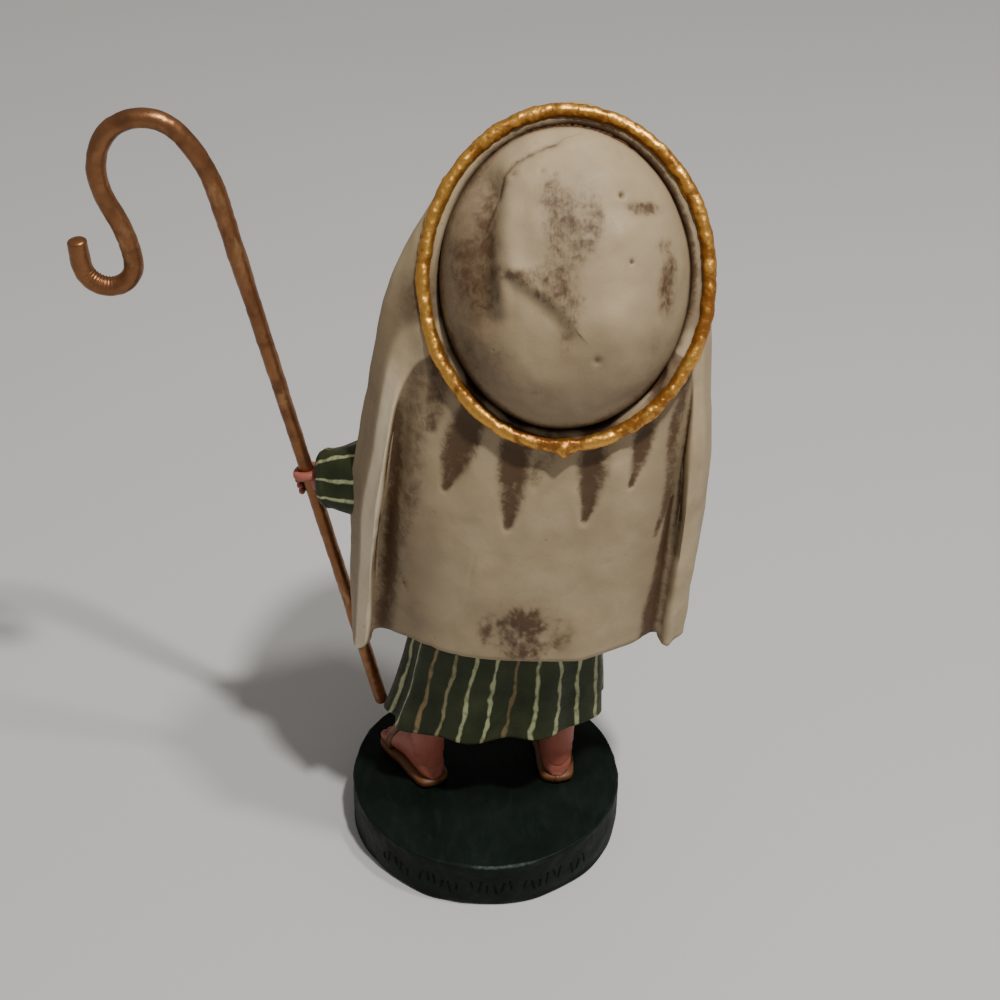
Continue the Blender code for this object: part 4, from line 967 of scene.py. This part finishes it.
def make_crook():
    """Bent wire: straight runs and bends, thicker up the hook, rough with dents."""
    lengths = np.array([run[0] for run in CROOK_RUNS])
    turns = np.radians([run[1] for run in CROOK_RUNS])
    ends = np.concatenate(([0.0], np.cumsum(lengths)))
    fine = np.linspace(0.0, ends[-1], 4000)
    which = np.clip(np.searchsorted(ends, fine, side="right") - 1, 0, len(lengths) - 1)
    before = np.concatenate(([0.0], np.cumsum(turns)))[which]
    heading = CROOK_LEAN + before + turns[which] * (fine - ends[which]) / lengths[which]
    kernel = np.hanning(161)
    padded = np.concatenate((np.full(80, heading[0]), heading, np.full(80, heading[-1])))
    heading = np.convolve(padded, kernel / kernel.sum(), mode="valid")
    step = np.gradient(fine)
    x = np.cumsum(np.sin(heading) * step)
    z = np.cumsum(np.cos(heading) * step)
    count = 900
    at = np.linspace(0.0, ends[-1], count)
    share = at / ends[-1]
    path = np.stack((CROOK_FOOT[0] + np.interp(at, fine, x - x[0]),
                     np.full(count, CROOK_FOOT[1]),
                     CROOK_FOOT[2] + np.interp(at, fine, z - z[0])), axis=-1)
    radius = 0.00150 + 0.00046 * ease(share, 0.25, 0.72)
    tip = np.minimum(at, ends[-1] - at)
    radius = radius * round_end(tip / 0.0007, 0.08)
    round_rows = tube(path, radius, 26, upright=(0.0, 1.0, 0.0))
    long = np.stack((at, at * 0, at * 0), axis=-1)[:, None] * 0.35 + round_rows * 0.65
    held = 1.0 - 0.85 * bell(at - FIST_DISTANCE, 0.0045)
    lump = (0.045 * lumps(long, 0.0042, 41) + 0.035 * lumps(round_rows, 0.0022, 42)
            + 0.030 * lumps(round_rows, 0.0010, 43)) * held[:, None]
    knots = sum(bell(at - place, 0.0022) for place in CROOK_KNOTS)
    lump = lump + 0.06 * knots[:, None] * lumps(round_rows, 0.004, 44)
    inner = unit(path - CROOK_BEND)
    bend = ease(share, 0.925, 0.940) * (1.0 - ease(share, 0.960, 0.975))
    outward = unit(round_rows - path[:, None])
    facing = np.clip(-(outward * inner[:, None]).sum(axis=-1), 0, 1)
    wrinkle = 0.060 * bend[:, None] * facing * np.sin(at * math.tau / 0.00092)[:, None]
    rows = path[:, None] + (radius[:, None] * (1.0 + lump + wrinkle))[..., None] * outward
    # Darker in dents and wrinkles, with painted shade on the wire's underside.
    sunk_and_shaded = np.clip(-5.0 * (lump + wrinkle), -0.5, 0.9) + 0.25 * ease(-outward[..., 2], 0.0, 0.9)
    turn = whole_turn(26)
    lay = np.stack((np.broadcast_to(at[:, None] * 0.3, lump.shape),
                    0.0016 * np.broadcast_to(np.cos(turn), lump.shape),
                    0.0016 * np.broadcast_to(np.sin(turn), lump.shape)), axis=-1)
    make_piece("crook_wire", rows, MATERIAL["crook"], "crook",
               fields={"sunk_and_shaded": sunk_and_shaded, "lay": lay})


# Arms and hands: points on the middle line of each arm, heights above the
# base's top, then radii of the fingers along their lengths

LEFT_ARM = np.array((
    (-0.0060, 0.0000, 0.0815), (0.0045, -0.0036, 0.0803), (0.0205, -0.0060, 0.0775)))
RIGHT_ARM = np.array((
    (-0.0130, -0.0015, 0.0845), (-0.0225, -0.0038, 0.0800), (-0.0335, -0.0070, 0.0630),
    (-0.0200, -0.0165, 0.0665), (-0.0105, -0.0166, 0.0705)))
LEFT_FINGER = (0.00090, 0.00096, 0.00092, 0.00088, 0.00090, 0.00086, 0.00082, 0.00076, 0.0006)
LEFT_THUMB = (0.0011, 0.0011, 0.00105, 0.0010, 0.0010, 0.0009, 0.0006)
RIGHT_FINGER_LENGTHS = (0.0046, 0.0052, 0.0050, 0.0042)

def sleeve(name, path, radii, seed, spin=0.0, stripes=11.0):
    """Sleeve loft with soft folds and an open, turned-in cuff at its end."""
    around = 120
    knots = np.linspace(0.0, 1.0, len(path))
    share = np.linspace(0.0, 1.0, 90)
    line = smooth_through(knots, np.array(path), share)
    radius = smooth_through(knots, np.array(radii), share)
    rows = tube(line, radius, around)
    turn = whole_turn(around)
    normal = unit(rows - line[:, None])
    push = (0.00045 * lumps(rows * np.array((0.6, 0.6, 1.0)), 0.0060, seed)
            + 0.00016 * lumps(rows, 0.0028, seed + 1))
    push += 0.0005 * np.cos(4 * turn + 5.0 * share[:, None] + spin) * ease(share, 0.1, 0.9)[:, None]
    push += 0.00035 * bell(share - 0.965, 0.018)[:, None]
    rows = rows + push[..., None] * normal
    ahead = unit(line[-1] - line[-4])
    lips = []
    for shrink, back in ((0.93, -0.0004), (0.84, -0.0002), (0.78, 0.0010), (0.74, 0.0032),
                         (0.60, 0.0036)):
        lips.append(line[-1] + (rows[-1] - line[-1]) * shrink - ahead * back)
    rows = np.concatenate((rows, lips))
    along = np.concatenate((share, np.full(5, 1.0)))
    flat = np.zeros(rows.shape[:2])
    shadow = np.concatenate((0.3 * ease(-push, 0.0002, 0.0008), np.full((5, around), 0.9)))
    lay = np.stack((flat + 0.35 * along[:, None] + spin, flat + stripes, shadow), axis=-1)
    lap = np.stack((flat + np.cos(turn), flat + np.sin(turn), flat), axis=-1)
    make_piece(name, rows, MATERIAL["robe"], "figure", fields={"lay": lay, "lap": lap})


def skin_tube(name, path, radii, sides=28, flatten=1.0, upright=(0.0, 0.0, 1.0), material="skin",
              samples=40, wash=0.12):
    """Rounded limb or finger: tube through points whose ends close in a dome."""
    knots = np.linspace(0.0, 1.0, len(path))
    share = np.concatenate(([0.0, 0.004, 0.02], np.linspace(0.05, 0.95, samples),
                            [0.98, 0.996, 1.0]))
    line = smooth_through(knots, np.array(path, dtype=float), share)
    radius = smooth_through(knots, np.array(radii, dtype=float), share)
    length = np.linalg.norm(np.diff(np.array(path, dtype=float), axis=0), axis=1).sum()
    tip = np.minimum(share, 1.0 - share) * length
    rows = tube(line, radius * round_end(tip / np.maximum(radius, 1e-6), 0.03), sides,
                flatten, upright)
    rows = rows + 0.03 * radius[:, None, None] * (
        lumps(rows, 0.0014, 51)[..., None] * unit(rows - line[:, None]))
    values = np.full(rows.shape[:2], wash)
    values[:4] += 0.35
    make_piece(name, rows, MATERIAL[material], "figure", fields={"wash": values})


def make_arms():
    """Both sleeves, wrists and hands."""
    lift = BASE_HEIGHT * UP
    chest, shoulder, elbow = LEFT_ARM + lift
    reach = unit(FIST - elbow)
    cuff = FIST - reach * 0.0042
    sleeve("left_sleeve", (chest, shoulder, elbow, (elbow + cuff) / 2, cuff),
           (0.0058, 0.0088, 0.0093, 0.0082, 0.0064), 61, 0.6)
    skin_tube("left_wrist", (cuff - reach * 0.006, cuff, FIST - reach * 0.0012),
              (0.0022, 0.0021, 0.0023))
    back = unit(-reach - SHAFT * np.dot(-reach, SHAFT))
    over = np.cross(SHAFT, back)
    grip = 0.00155 + 0.00085
    for number in range(4):
        level = SHAFT * (0.00175 - 0.00150 * number)
        arc = np.radians(np.linspace(-35.0, 215.0, 9))
        path = [FIST + level + grip * (np.cos(a) * back * 1.05 + np.sin(a) * over) for a in arc]
        skin_tube("left_finger_%d" % number, path, LEFT_FINGER, 18, upright=tuple(SHAFT),
                  samples=44)
    arc = np.radians(np.linspace(20.0, -150.0, 7))
    path = [FIST + SHAFT * (0.0020 + 0.0004 * i / 6) + grip
            * (np.cos(a) * back * 1.1 + np.sin(a) * over) for i, a in enumerate(arc)]
    skin_tube("left_thumb", path, LEFT_THUMB, 18, upright=tuple(SHAFT), samples=40)
    palm = FIST + back * 0.0021
    skin_tube("left_palm", (palm - SHAFT * 0.0030, palm, palm + SHAFT * 0.0030),
              (0.0019, 0.0021, 0.0019), 28, upright=(0.0, 1.0, 0.0))
    chest, shoulder, elbow, cuff, hand = RIGHT_ARM + lift
    upper = unit(elbow - shoulder)
    lower = unit(cuff - elbow)
    sleeve("right_upper_sleeve",
           (chest, shoulder, (shoulder + elbow) / 2, elbow, elbow + upper * 0.0045),
           (0.0048, 0.0082, 0.0090, 0.0086, 0.0050), 71, 0.2)
    sleeve("right_sleeve", (elbow - lower * 0.004, elbow, (elbow + cuff) / 2, cuff),
           (0.0052, 0.0083, 0.0085, 0.0077), 74, 1.4)
    reach = unit(hand - cuff)
    skin_tube("right_wrist", (cuff - reach * 0.004, (cuff + hand) / 2, hand - reach * 0.0015),
              (0.0031, 0.0028, 0.0026))
    across = unit(np.cross((0.0, -1.0, 0.0), reach))
    skin_tube("right_palm", (hand - reach * 0.0034, hand, hand + reach * 0.0030),
              (0.0025, 0.0030, 0.0026), 32, 0.6, upright=(0.0, 1.0, 0.0))
    for number in range(4):
        level = across * (0.0021 - 0.00140 * number)
        start = hand + level + reach * 0.0016
        tip = start + reach * RIGHT_FINGER_LENGTHS[number] + np.array((0, 0.0005, 0))
        skin_tube("right_finger_%d" % number, (start, (start + tip) / 2 + (0, -0.0003, 0), tip),
                  (0.00088, 0.00086, 0.00068), 18)
    start = hand + across * 0.0020 - reach * 0.0012
    skin_tube("right_thumb", (start, start + across * 0.0022 + reach * 0.0012,
                              start + across * 0.0034 + reach * 0.0032),
              (0.00105, 0.00098, 0.00072), 18)


# Legs, feet and sandals

FOOT_LENGTH = 0.0190
FOOT_HALF_WIDTH = 0.0043
INSTEP = 0.0090
SOLE_TOP = BASE_HEIGHT + 0.0020


def foot_half_width(share):
    """Half-width of a foot along its length, heel 0 to toe tip 1."""
    return FOOT_HALF_WIDTH * smooth_through(
        (0.0, 0.06, 0.22, 0.50, 0.76, 0.92, 1.0),
        (0.42, 0.64, 0.80, 0.84, 1.0, 0.90, 0.52), share)


def foot_top(share):
    """Height of the foot above its sandal along its length."""
    return INSTEP * smooth_through((0.0, 0.16, 0.36, 0.60, 0.84, 1.0),
                                   (0.45, 0.85, 1.0, 0.78, 0.36, 0.18), share)


def make_foot(side, heel, turn):
    """Foot as half-ovals along its length, with toes, leg, sole and straps."""
    ahead = np.array((math.sin(turn), -math.cos(turn), 0.0))
    aside = np.array((math.cos(turn), math.sin(turn), 0.0))
    origin = np.array((heel[0], heel[1], 0.0))
    share = 0.5 - 0.5 * np.cos(np.linspace(0.0, math.pi, 60))
    ring = whole_turn(48)
    end = round_end(np.minimum(share, 1 - share) / 0.07, 0.02)
    width = foot_half_width(share)[:, None] * (0.55 + 0.45 * end)[:, None]
    height = foot_top(share)[:, None] * end[:, None]
    middle = origin + share[:, None] * FOOT_LENGTH * ahead + (SOLE_TOP + height * 0.40) * UP
    high = np.where(np.sin(ring) > 0, height * 0.60, height * 0.40 + 0.0004)
    rows = (middle[:, None] + (width * np.cos(ring))[..., None] * aside
            + (high * np.sin(ring))[..., None] * UP)
    wash = 0.10 + 0.45 * (1.0 - ease(rows[..., 2], SOLE_TOP, SOLE_TOP + 0.0012))
    make_piece(side + "_foot", rows, MATERIAL["skin"], "figure",
               fields={"wash": wash})
    for number in range(5):
        spread = 1.0 - 2.0 * number / 4
        inner = spread if side == "right" else -spread
        size = 0.00125 * (1.0 + 0.30 * max(0.0, inner) ** 3)
        reach = FOOT_LENGTH * (0.955 + 0.03 * inner) - 0.5 * size
        middle = origin + ahead * reach + aside * spread * FOOT_HALF_WIDTH * 0.76 \
            + (SOLE_TOP + size * 0.75) * UP
        skin_tube("%s_toe_%d" % (side, number),
                  (middle - ahead * size * 1.8, middle, middle + ahead * size * 1.4),
                  (size * 0.8, size, size * 0.85), 20, samples=20)
    ankle = origin + ahead * 0.0036 + (SOLE_TOP + 0.0013) * UP
    top = np.array((origin[0] + ahead[0] * 0.0036, origin[1] + ahead[1] * 0.0036 - 0.001, 0.038))
    skin_tube(side + "_leg", (ankle, ankle + 0.0042 * UP, ankle + 0.0092 * UP,
                              top, top + 0.004 * UP),
              (0.0034, 0.00345, 0.0037, 0.0042, 0.0043), 48, upright=(0, 1, 0))
    run = 0.5 - 0.5 * np.cos(np.linspace(0.0, math.pi, 60))
    half = (foot_half_width(run) + 0.0006) * round_end(np.minimum(run, 1 - run) / 0.05, 0.05)
    line = origin + np.outer(run * (FOOT_LENGTH + 0.0012) - 0.0006, ahead)
    outline = np.concatenate((line + np.outer(half, aside), (line - np.outer(half, aside))[::-1]))
    centre = outline.mean(axis=0)
    rows = []
    for shrink, z in ((0.55, 0.0), (0.96, 0.0), (1.0, 0.0003), (1.0, 0.0013), (0.975, 0.0017),
                      (0.55, 0.0017)):
        loop = centre + (outline - centre) * shrink
        loop[:, 2] = BASE_HEIGHT + 0.0003 + z
        rows.append(loop)
    rows = np.array(rows)
    wash = np.broadcast_to(np.array((0.6, 0.5, 0.35, 0.1, 0.0, 0.2))[:, None], rows.shape[:2])
    make_piece(side + "_sole", rows, MATERIAL["sandal"], "figure",
               fields={"wash": wash})
    arc = np.linspace(0.0, math.pi, 40)
    loops = []
    for place in np.linspace(0.70, 0.82, 7):
        width = float(foot_half_width(np.array([place]))[0]) + 0.0003
        height = float(foot_top(np.array([place]))[0]) + 0.0003
        base = origin + place * FOOT_LENGTH * ahead + (SOLE_TOP + 0.0002) * UP
        outer = base + np.outer(width * np.cos(arc), aside) \
            + np.outer(height * np.sin(arc) ** 0.8, UP)
        inner = base + np.outer((width - 0.0007) * np.cos(arc[::-1]), aside) \
            + np.outer((height - 0.0007) * np.sin(arc[::-1]) ** 0.8, UP)
        loops.append(np.concatenate((outer, inner)))
    loops = np.array(loops)
    wash = np.broadcast_to(np.array((0.5, 0.2, 0.0, 0.0, 0.0, 0.2, 0.5))[:, None],
                           loops.shape[:2])
    make_piece(side + "_strap", loops, MATERIAL["sandal"], "figure",
               fields={"wash": wash})


# Head

HEAD_CENTRE = np.array((-0.0132, -0.0108, 0.1268 + BASE_HEIGHT))
HEAD_TILT = math.radians(15.0)
HEAD_HALF_WIDTH, HEAD_FRONT, HEAD_REAR, HEAD_HALF_HEIGHT = 21.2, 22.0, 17.6, 26.2
HEAD_AHEAD = np.array((0.0, -math.cos(HEAD_TILT), math.sin(HEAD_TILT)))
HEAD_UP = np.array((0.0, math.sin(HEAD_TILT), math.cos(HEAD_TILT)))


def head_shape(longitude, latitude):
    """Head point, and its place aside and above in millimetres.

    An egg x = width*cos(b)*sin(a), y = depth*cos(b)*cos(a), z = height*sin(b)
    with soft-edged bumps and hollows for brow, eyes, nose, cheeks, lips and chin.
    """
    lon, lat = np.radians(longitude), np.radians(latitude)
    ahead = np.cos(lat) * np.cos(lon)
    aside = np.cos(lat) * np.sin(lon)
    above = np.sin(lat)
    narrow = 1.0 + 0.03 * ease(-above, 0.25, 0.95)
    x = HEAD_HALF_WIDTH * narrow * aside
    y = np.where(ahead > 0, HEAD_FRONT, HEAD_REAR) * ahead
    z = HEAD_HALF_HEIGHT * above
    face = ease(ahead, 0.25, 0.7)

    def bump(x0, z0, half_x, half_z):
        """Soft-edged patch on the face, in millimetres from its middle."""
        return np.exp(-(np.abs(x - x0) / half_x) ** 2.2 - (np.abs(z - z0) / half_z) ** 2.2)

    def pair(x0, z0, half_x, half_z):
        """The same patch on both sides of the face."""
        return bump(x0, z0, half_x, half_z) + bump(-x0, z0, half_x, half_z)

    push = 3.3 * bump(0, -8.0, 2.0, 2.7) + 1.4 * bump(0, -2.4, 1.5, 5.4)
    push += 1.3 * pair(2.3, -8.9, 1.1, 1.3)
    push = push * ease(z, -10.9, -9.3)
    push -= 1.8 * pair(7.6, 1.0, 4.6, 3.6)
    push += 1.2 * pair(7.6, 0.9, 3.3, 2.3) + 0.8 * pair(7.6, 6.8, 5.0, 1.9)
    push += 1.1 * pair(10.2, -7.6, 5.0, 4.8)
    push += 1.0 * bump(0, -13.2, 3.4, 0.95) + 1.1 * bump(0, -15.7, 3.0, 1.1)
    push -= 0.9 * bump(0, -14.4, 4.0, 0.36) - 1.0 * bump(0, -14.2, 6.0, 3.2)
    push -= 0.8 * bump(0, -18.2, 3.8, 1.1)
    push += 1.9 * bump(0, -22.0, 5.0, 3.0)
    push -= 0.35 * bump(0, -11.0, 0.8, 1.3)
    y = y + push * face
    points = (HEAD_CENTRE + np.multiply.outer(x / 1000, ACROSS)
              + np.multiply.outer(y / 1000, HEAD_AHEAD) + np.multiply.outer(z / 1000, HEAD_UP))
    beyond = np.clip((points - CORD_CENTRE) @ OUTWARD, 0.0, None)
    points = points - np.multiply.outer(0.45 * beyond, OUTWARD)
    return points, x, z, face


def make_head():
    """Head with painted features, read as distances from their centres."""
    spread = np.linspace(-1.0, 1.0, 301)[:-1]
    longitude = 180.0 * np.sign(spread) * np.abs(spread) ** 1.6
    latitude = np.concatenate((np.linspace(-84, -55, 16)[:-1], np.linspace(-55, 30, 170),
                               np.linspace(30, 84, 30)[1:]))
    grid_lat, grid_lon = np.meshgrid(latitude, longitude, indexing="ij")
    points, x, z, face = head_shape(grid_lon, grid_lat)
    side = np.abs(x)
    eye_x, eye_z = side - 7.6, z - 0.9
    lid = 1.9 - 0.115 * eye_x ** 2
    sill = -1.6 + 0.085 * eye_x ** 2
    open_eye = np.minimum((lid - eye_z), (eye_z - sill)) * face
    eyewhite = ease(open_eye, -0.18, 0.18) * (np.abs(eye_x) < 5.2) * (face > 0.3)
    gaze = np.hypot(eye_x + 0.1, (eye_z - 0.25))
    iris = ease(-gaze, -1.75, -1.35) * eyewhite
    pupil = ease(-gaze, -0.95, -0.65) * eyewhite
    # A painted highlight in each eye.
    glint = ease(-np.hypot(x - np.sign(x) * 7.4 - 0.55, z - 1.75), -0.48, -0.22) * eyewhite
    lash = bell(eye_z - lid + 0.05, 0.32) * (np.abs(eye_x) < 4.3) * face
    lash = np.maximum(lash, 0.5 * bell(eye_z - sill, 0.22) * (np.abs(eye_x) < 3.8) * face)
    brow_line = 6.0 - 0.055 * (side - 8.2) ** 2
    brow = bell(z - brow_line, 0.62) * ease(side, 3.4, 5.0) * (1 - ease(side, 11.5, 13.0)) * face
    upper = -14.35 + 1.25 * np.clip(1 - (side / 4.4) ** 2, 0, 1) - 0.40 * bell(side, 0.7)
    lower = -14.45 - 2.0 * np.clip(1 - (side / 3.9) ** 2, 0, 1)
    lips = ease(np.minimum(upper - z, z - lower), -0.15, 0.25) * (side < 4.5) * face
    mouth = bell(z + 14.4 - 0.018 * side ** 2, 0.20) * (side < 4.5) * face
    blush = np.exp(-((side - 11.0) / 4.4) ** 2 - ((z + 7.6) / 4.0) ** 2) * face
    blush = blush + 0.35 * np.exp(-(x / 1.9) ** 2 - ((z + 6.8) / 1.9) ** 2) * face
    wash = 0.06 + 0.75 * mouth
    # Painted shade: above the eyes, beside and under the nose, at the nostrils, below the lower
    # lip, under the chin, and at the head's sides and top under the cloth.
    shadow = 0.35 * bell(eye_z - 3.2, 0.8) * (1.0 - ease(np.abs(eye_x), 2.4, 5.6)) * face
    shadow = shadow + 0.5 * bell(np.hypot(side - 3.5, z + 8.2), 0.7) * face
    shadow = shadow + 0.8 * bell(np.hypot((side - 1.2) / 1.5, z + 10.0), 0.42) * face
    shadow = shadow + 0.3 * bell(z + 10.5, 0.7) * bell(x, 2.8) * face
    shadow = shadow + 0.45 * ease(side, 14.5, 20.5) + 0.35 * ease(z, 13.0, 20.0)
    shadow = shadow + 0.30 * ease(-z, 19.0, 25.0) + 0.25 * bell(z + 18.3, 1.1) * bell(x, 3.4)
    make_piece("head", points, MATERIAL["face"], "figure",
               fields={"wash": wash, "shade_glaze": shadow, "eyewhite": eyewhite, "iris": iris,
                       "pupil": pupil, "glint": glint, "lash": lash, "brow": brow,
                       "lips": lips, "blush": blush})


def make_hair():
    """Locks that come out from under the brim and follow the forehead."""
    for number in range(17):
        spread = (number - 8) / 8.0
        start_lon = 58.0 * spread
        sway = 8.0 * math.sin(number * 2.4) + 4.0 * spread
        low = 33.0 - 6.0 * abs(spread) ** 1.5 - 4.5 * math.cos(number * 1.9)
        low = low - 34.0 * max(0.0, abs(spread) - 0.72) / 0.28
        share = np.linspace(0.0, 1.0, 7)
        lon = start_lon + sway * share ** 1.4
        lat = 68.0 + (low - 68.0) * share
        path = head_shape(lon, lat)[0]
        away = unit(path - HEAD_CENTRE)
        path = path + away * (0.0005 * np.sin(math.pi * (0.2 + 0.8 * share)))[:, None]
        radii = 0.0022 * np.array((1.0, 1.05, 1.05, 0.95, 0.78, 0.50, 0.12))
        knots = np.linspace(0.0, 1.0, 7)
        fine = np.linspace(0.0, 1.0, 40)
        line = smooth_through(knots, path, fine)
        radius = smooth_through(knots, radii, fine)
        rows = tube(line, radius, 30, 0.55, upright=tuple(away[3]))
        turn = whole_turn(30)
        groove = np.cos(7 * turn + number)
        rows = rows + (0.09 * radius[:, None] * groove[None])[..., None] * unit(
            rows - line[:, None])
        wash = np.broadcast_to(0.35 - 0.35 * groove, rows.shape[:2])
        make_piece("hair_%02d" % number, rows, MATERIAL["hair"], "figure",
                   fields={"wash": wash})


# Base

def make_base():
    """Turned disc, brushed on top, with rows of shallow strokes on its side."""
    dense = np.linspace(math.radians(28.0), math.radians(152.0), 720)
    rest = np.linspace(math.radians(152.0), math.radians(388.0), 200)[1:-1]
    turn = np.concatenate((dense, rest))
    edge = 0.0007
    profile = [(r, 0.0) for r in np.linspace(0.0015, BASE_RADIUS - edge, 8)]
    profile += [(BASE_RADIUS - edge + edge * math.sin(a), edge - edge * math.cos(a))
                for a in np.linspace(0.3, math.pi / 2, 6)]
    profile += [(BASE_RADIUS, z) for z in np.linspace(0.0012, BASE_HEIGHT - 0.0012, 46)]
    profile += [(BASE_RADIUS - edge + edge * math.cos(a), BASE_HEIGHT - edge + edge * math.sin(a))
                for a in np.linspace(0.0, math.pi / 2, 8)]
    profile += [(r, BASE_HEIGHT) for r in np.linspace(BASE_RADIUS - 0.0009, 0.0008, 26)]
    profile = np.array(profile)
    radius, z = profile[:, 0:1], profile[:, 1:2]
    place = np.stack((radius * np.cos(turn), radius * np.sin(turn),
                      np.broadcast_to(z, (len(profile), len(turn)))), axis=-1)
    wall = ((radius > BASE_RADIUS - 0.0001) & (z > 0.0008)).astype(float)
    rim = bell(radius - BASE_RADIUS, 0.0006) * bell(z - BASE_HEIGHT, 0.0007)
    push = wall * (0.00020 * lumps(place, 0.0065, 81) + 0.00011 * lumps(place, 0.0024, 82)
                   + 0.00005 * lumps(place, 0.0011, 86))
    push = push + 0.00030 * rim * lumps(place, 0.0045, 83)
    push = push + 0.00030 * bell(z, 0.0012) * lumps(place, 0.0060, 87) * (radius > 0.029)
    arc = (turn - math.pi / 2) * BASE_RADIUS * 1000.0
    mm_z = z * 1000.0
    cut = np.zeros_like(push)
    where = -24.5
    number = 0
    while where < 25.0:
        tall = 2.0 + 1.3 * abs(math.sin(number * 1.7))
        lean = 0.55 * math.sin(number * 2.3)
        curl = 0.5 * math.sin(number * 3.1 + 1.0)
        middle = 5.6 + 0.7 * math.sin(number * 1.1)
        if number % 7 != 5:
            up = (mm_z - middle) / tall
            along = arc - where - lean * up * tall * 0.5 - curl * up ** 2
            cut = np.maximum(cut, bell(along, 0.26) * (1.0 - ease(np.abs(up), 0.42, 0.56)))
        where += 1.35 + 0.55 * abs(math.sin(number * 1.3 + 0.4))
        number += 1
    push = push - wall * 0.00032 * cut
    outward = np.stack((np.cos(turn), np.sin(turn), np.zeros_like(turn)), axis=-1)
    rows = place + push[..., None] * outward
    top = (z > BASE_HEIGHT - 0.0001) & (radius < BASE_RADIUS - 0.0006)
    rows[..., 2] += np.where(top, 0.00009 * lumps(place, 0.0070, 84)
                             + 0.00004 * lumps(place, 0.0030, 85) - 0.00012, 0.0)
    # The rim is rubbed pale, partly as wear and partly as a painted highlight strongest on the near
    # side, with pale lines along the bottom edge and the top of the side wall; the top gets painted
    # shade.
    near = bell(turn - math.radians(96.0), 0.30)[None]
    rub_and_highlight = rim * (0.22 + 0.75 * near + 0.35 * lumps(place, 0.0050, 88))
    rub_and_highlight = rub_and_highlight + 0.20 * bell(z - 0.0003, 0.0005) * (radius > 0.0285)
    rub_and_highlight = rub_and_highlight + 0.10 * wall * bell(mm_z - 11.0, 0.7)
    wash = 0.85 * wall * cut
    shade_top = np.where(top, 0.15, 0.0) * np.ones_like(push)
    make_piece("plinth", rows, MATERIAL["base"], "base",
               fields={"wash": wash + shade_top, "rub_and_highlight": rub_and_highlight * np.ones_like(push)})


make_cord()
make_crown()
make_cloth()
make_robe()
make_crook()
make_arms()
make_foot("left", (0.0112, 0.0052), math.radians(32.0))
make_foot("right", (-0.0162, 0.0034), math.radians(5.0))
make_head()
make_hair()
make_base()


# Floor, light and camera.  Lights are (name, place, size, power, colour)

LIGHTS = (
    ("overhead", (-0.240, 0.300, 1.000), 0.07, 8.3, (1.0, 0.975, 0.94)),
    ("second", (-0.360, 0.100, 1.050), 0.09, 4.3, (1.0, 0.98, 0.95)),
)
LIGHT_TARGET = (0.0, 0.0, 0.06)
SKY_COLOUR = (0.86, 0.83, 0.79, 1.0)
SKY_STRENGTH = 0.34
CAMERA_PLACE = (-0.0018, 0.3328, 0.3311)
CAMERA_PITCH = math.radians(36.1)
CAMERA_ROLL = math.radians(-1.3)

def make_floor():
    """Pale matte floor that curves up far behind."""
    material, tree, shader, place = new_material("pale_floor")
    broad = noise(tree, place, 3.0, 2.0)
    colour = blend(tree, span(tree, broad, 0.3, 0.7), (0.535, 0.530, 0.520, 1.0),
                   (0.550, 0.545, 0.535, 1.0))
    tree.links.new(colour, shader.inputs["Base Color"])
    shader.inputs["Roughness"].default_value = 0.45
    line = np.linspace(0.0, 1.0, 60)
    x = np.linspace(-3.0, 3.0, 30)
    back = 1.2 - 4.0 * line
    rise = 1.6 * ease(line, 0.6, 1.0) ** 1.5
    points = [(px, py, pz) for py, pz in zip(back, rise) for px in x]
    faces = [(i * 30 + j, (i + 1) * 30 + j, (i + 1) * 30 + j + 1, i * 30 + j + 1)
             for i in range(59) for j in range(29)]
    mesh = bpy.data.meshes.new("floor")
    mesh.from_pydata(points, [], faces)
    mesh.materials.append(material)
    mesh.shade_smooth()
    floor = bpy.data.objects.new("floor", mesh)
    bpy.context.scene.collection.objects.link(floor)


def add_light(name, place, size, power, colour):
    """Round soft light aimed at the figure."""
    data = bpy.data.lights.new(name, "AREA")
    data.shape = "DISK"
    data.size = size
    data.energy = power
    data.color = colour
    lamp = bpy.data.objects.new(name, data)
    ahead = unit(np.array(LIGHT_TARGET) - np.array(place))
    turn_up = math.acos(-ahead[2])
    lamp.location = place
    lamp.rotation_euler = (turn_up, 0.0, math.atan2(ahead[1], ahead[0]) - math.pi / 2)
    bpy.context.scene.collection.objects.link(lamp)


def make_camera():
    """Camera behind and above the figure, looking down at it by 36 degrees."""
    data = bpy.data.cameras.new("camera")
    data.lens = 72.0
    data.sensor_width = 36.0
    data.clip_start = 0.01
    camera = bpy.data.objects.new("camera", data)
    camera.location = CAMERA_PLACE
    ahead = np.array((0.0, -math.cos(CAMERA_PITCH), -math.sin(CAMERA_PITCH)))
    right = unit(np.cross(ahead, UP))
    down = np.cross(ahead, right)
    x_axis = math.cos(CAMERA_ROLL) * right + math.sin(CAMERA_ROLL) * down
    y_axis = math.sin(CAMERA_ROLL) * right - math.cos(CAMERA_ROLL) * down
    turn = np.stack((x_axis, y_axis, -ahead), axis=1)
    camera.rotation_euler = (math.atan2(turn[2, 1], turn[2, 2]),
                             math.atan2(-turn[2, 0], math.hypot(turn[2, 1], turn[2, 2])),
                             math.atan2(turn[1, 0], turn[0, 0]))
    bpy.context.scene.collection.objects.link(camera)
    bpy.context.scene.camera = camera


make_floor()
make_camera()
for light in LIGHTS:
    add_light(*light)
world = bpy.context.scene.world or bpy.data.worlds.new("world")
bpy.context.scene.world = world
world.use_nodes = True
sky = world.node_tree.nodes["Background"].inputs
sky["Color"].default_value = SKY_COLOUR
sky["Strength"].default_value = SKY_STRENGTH
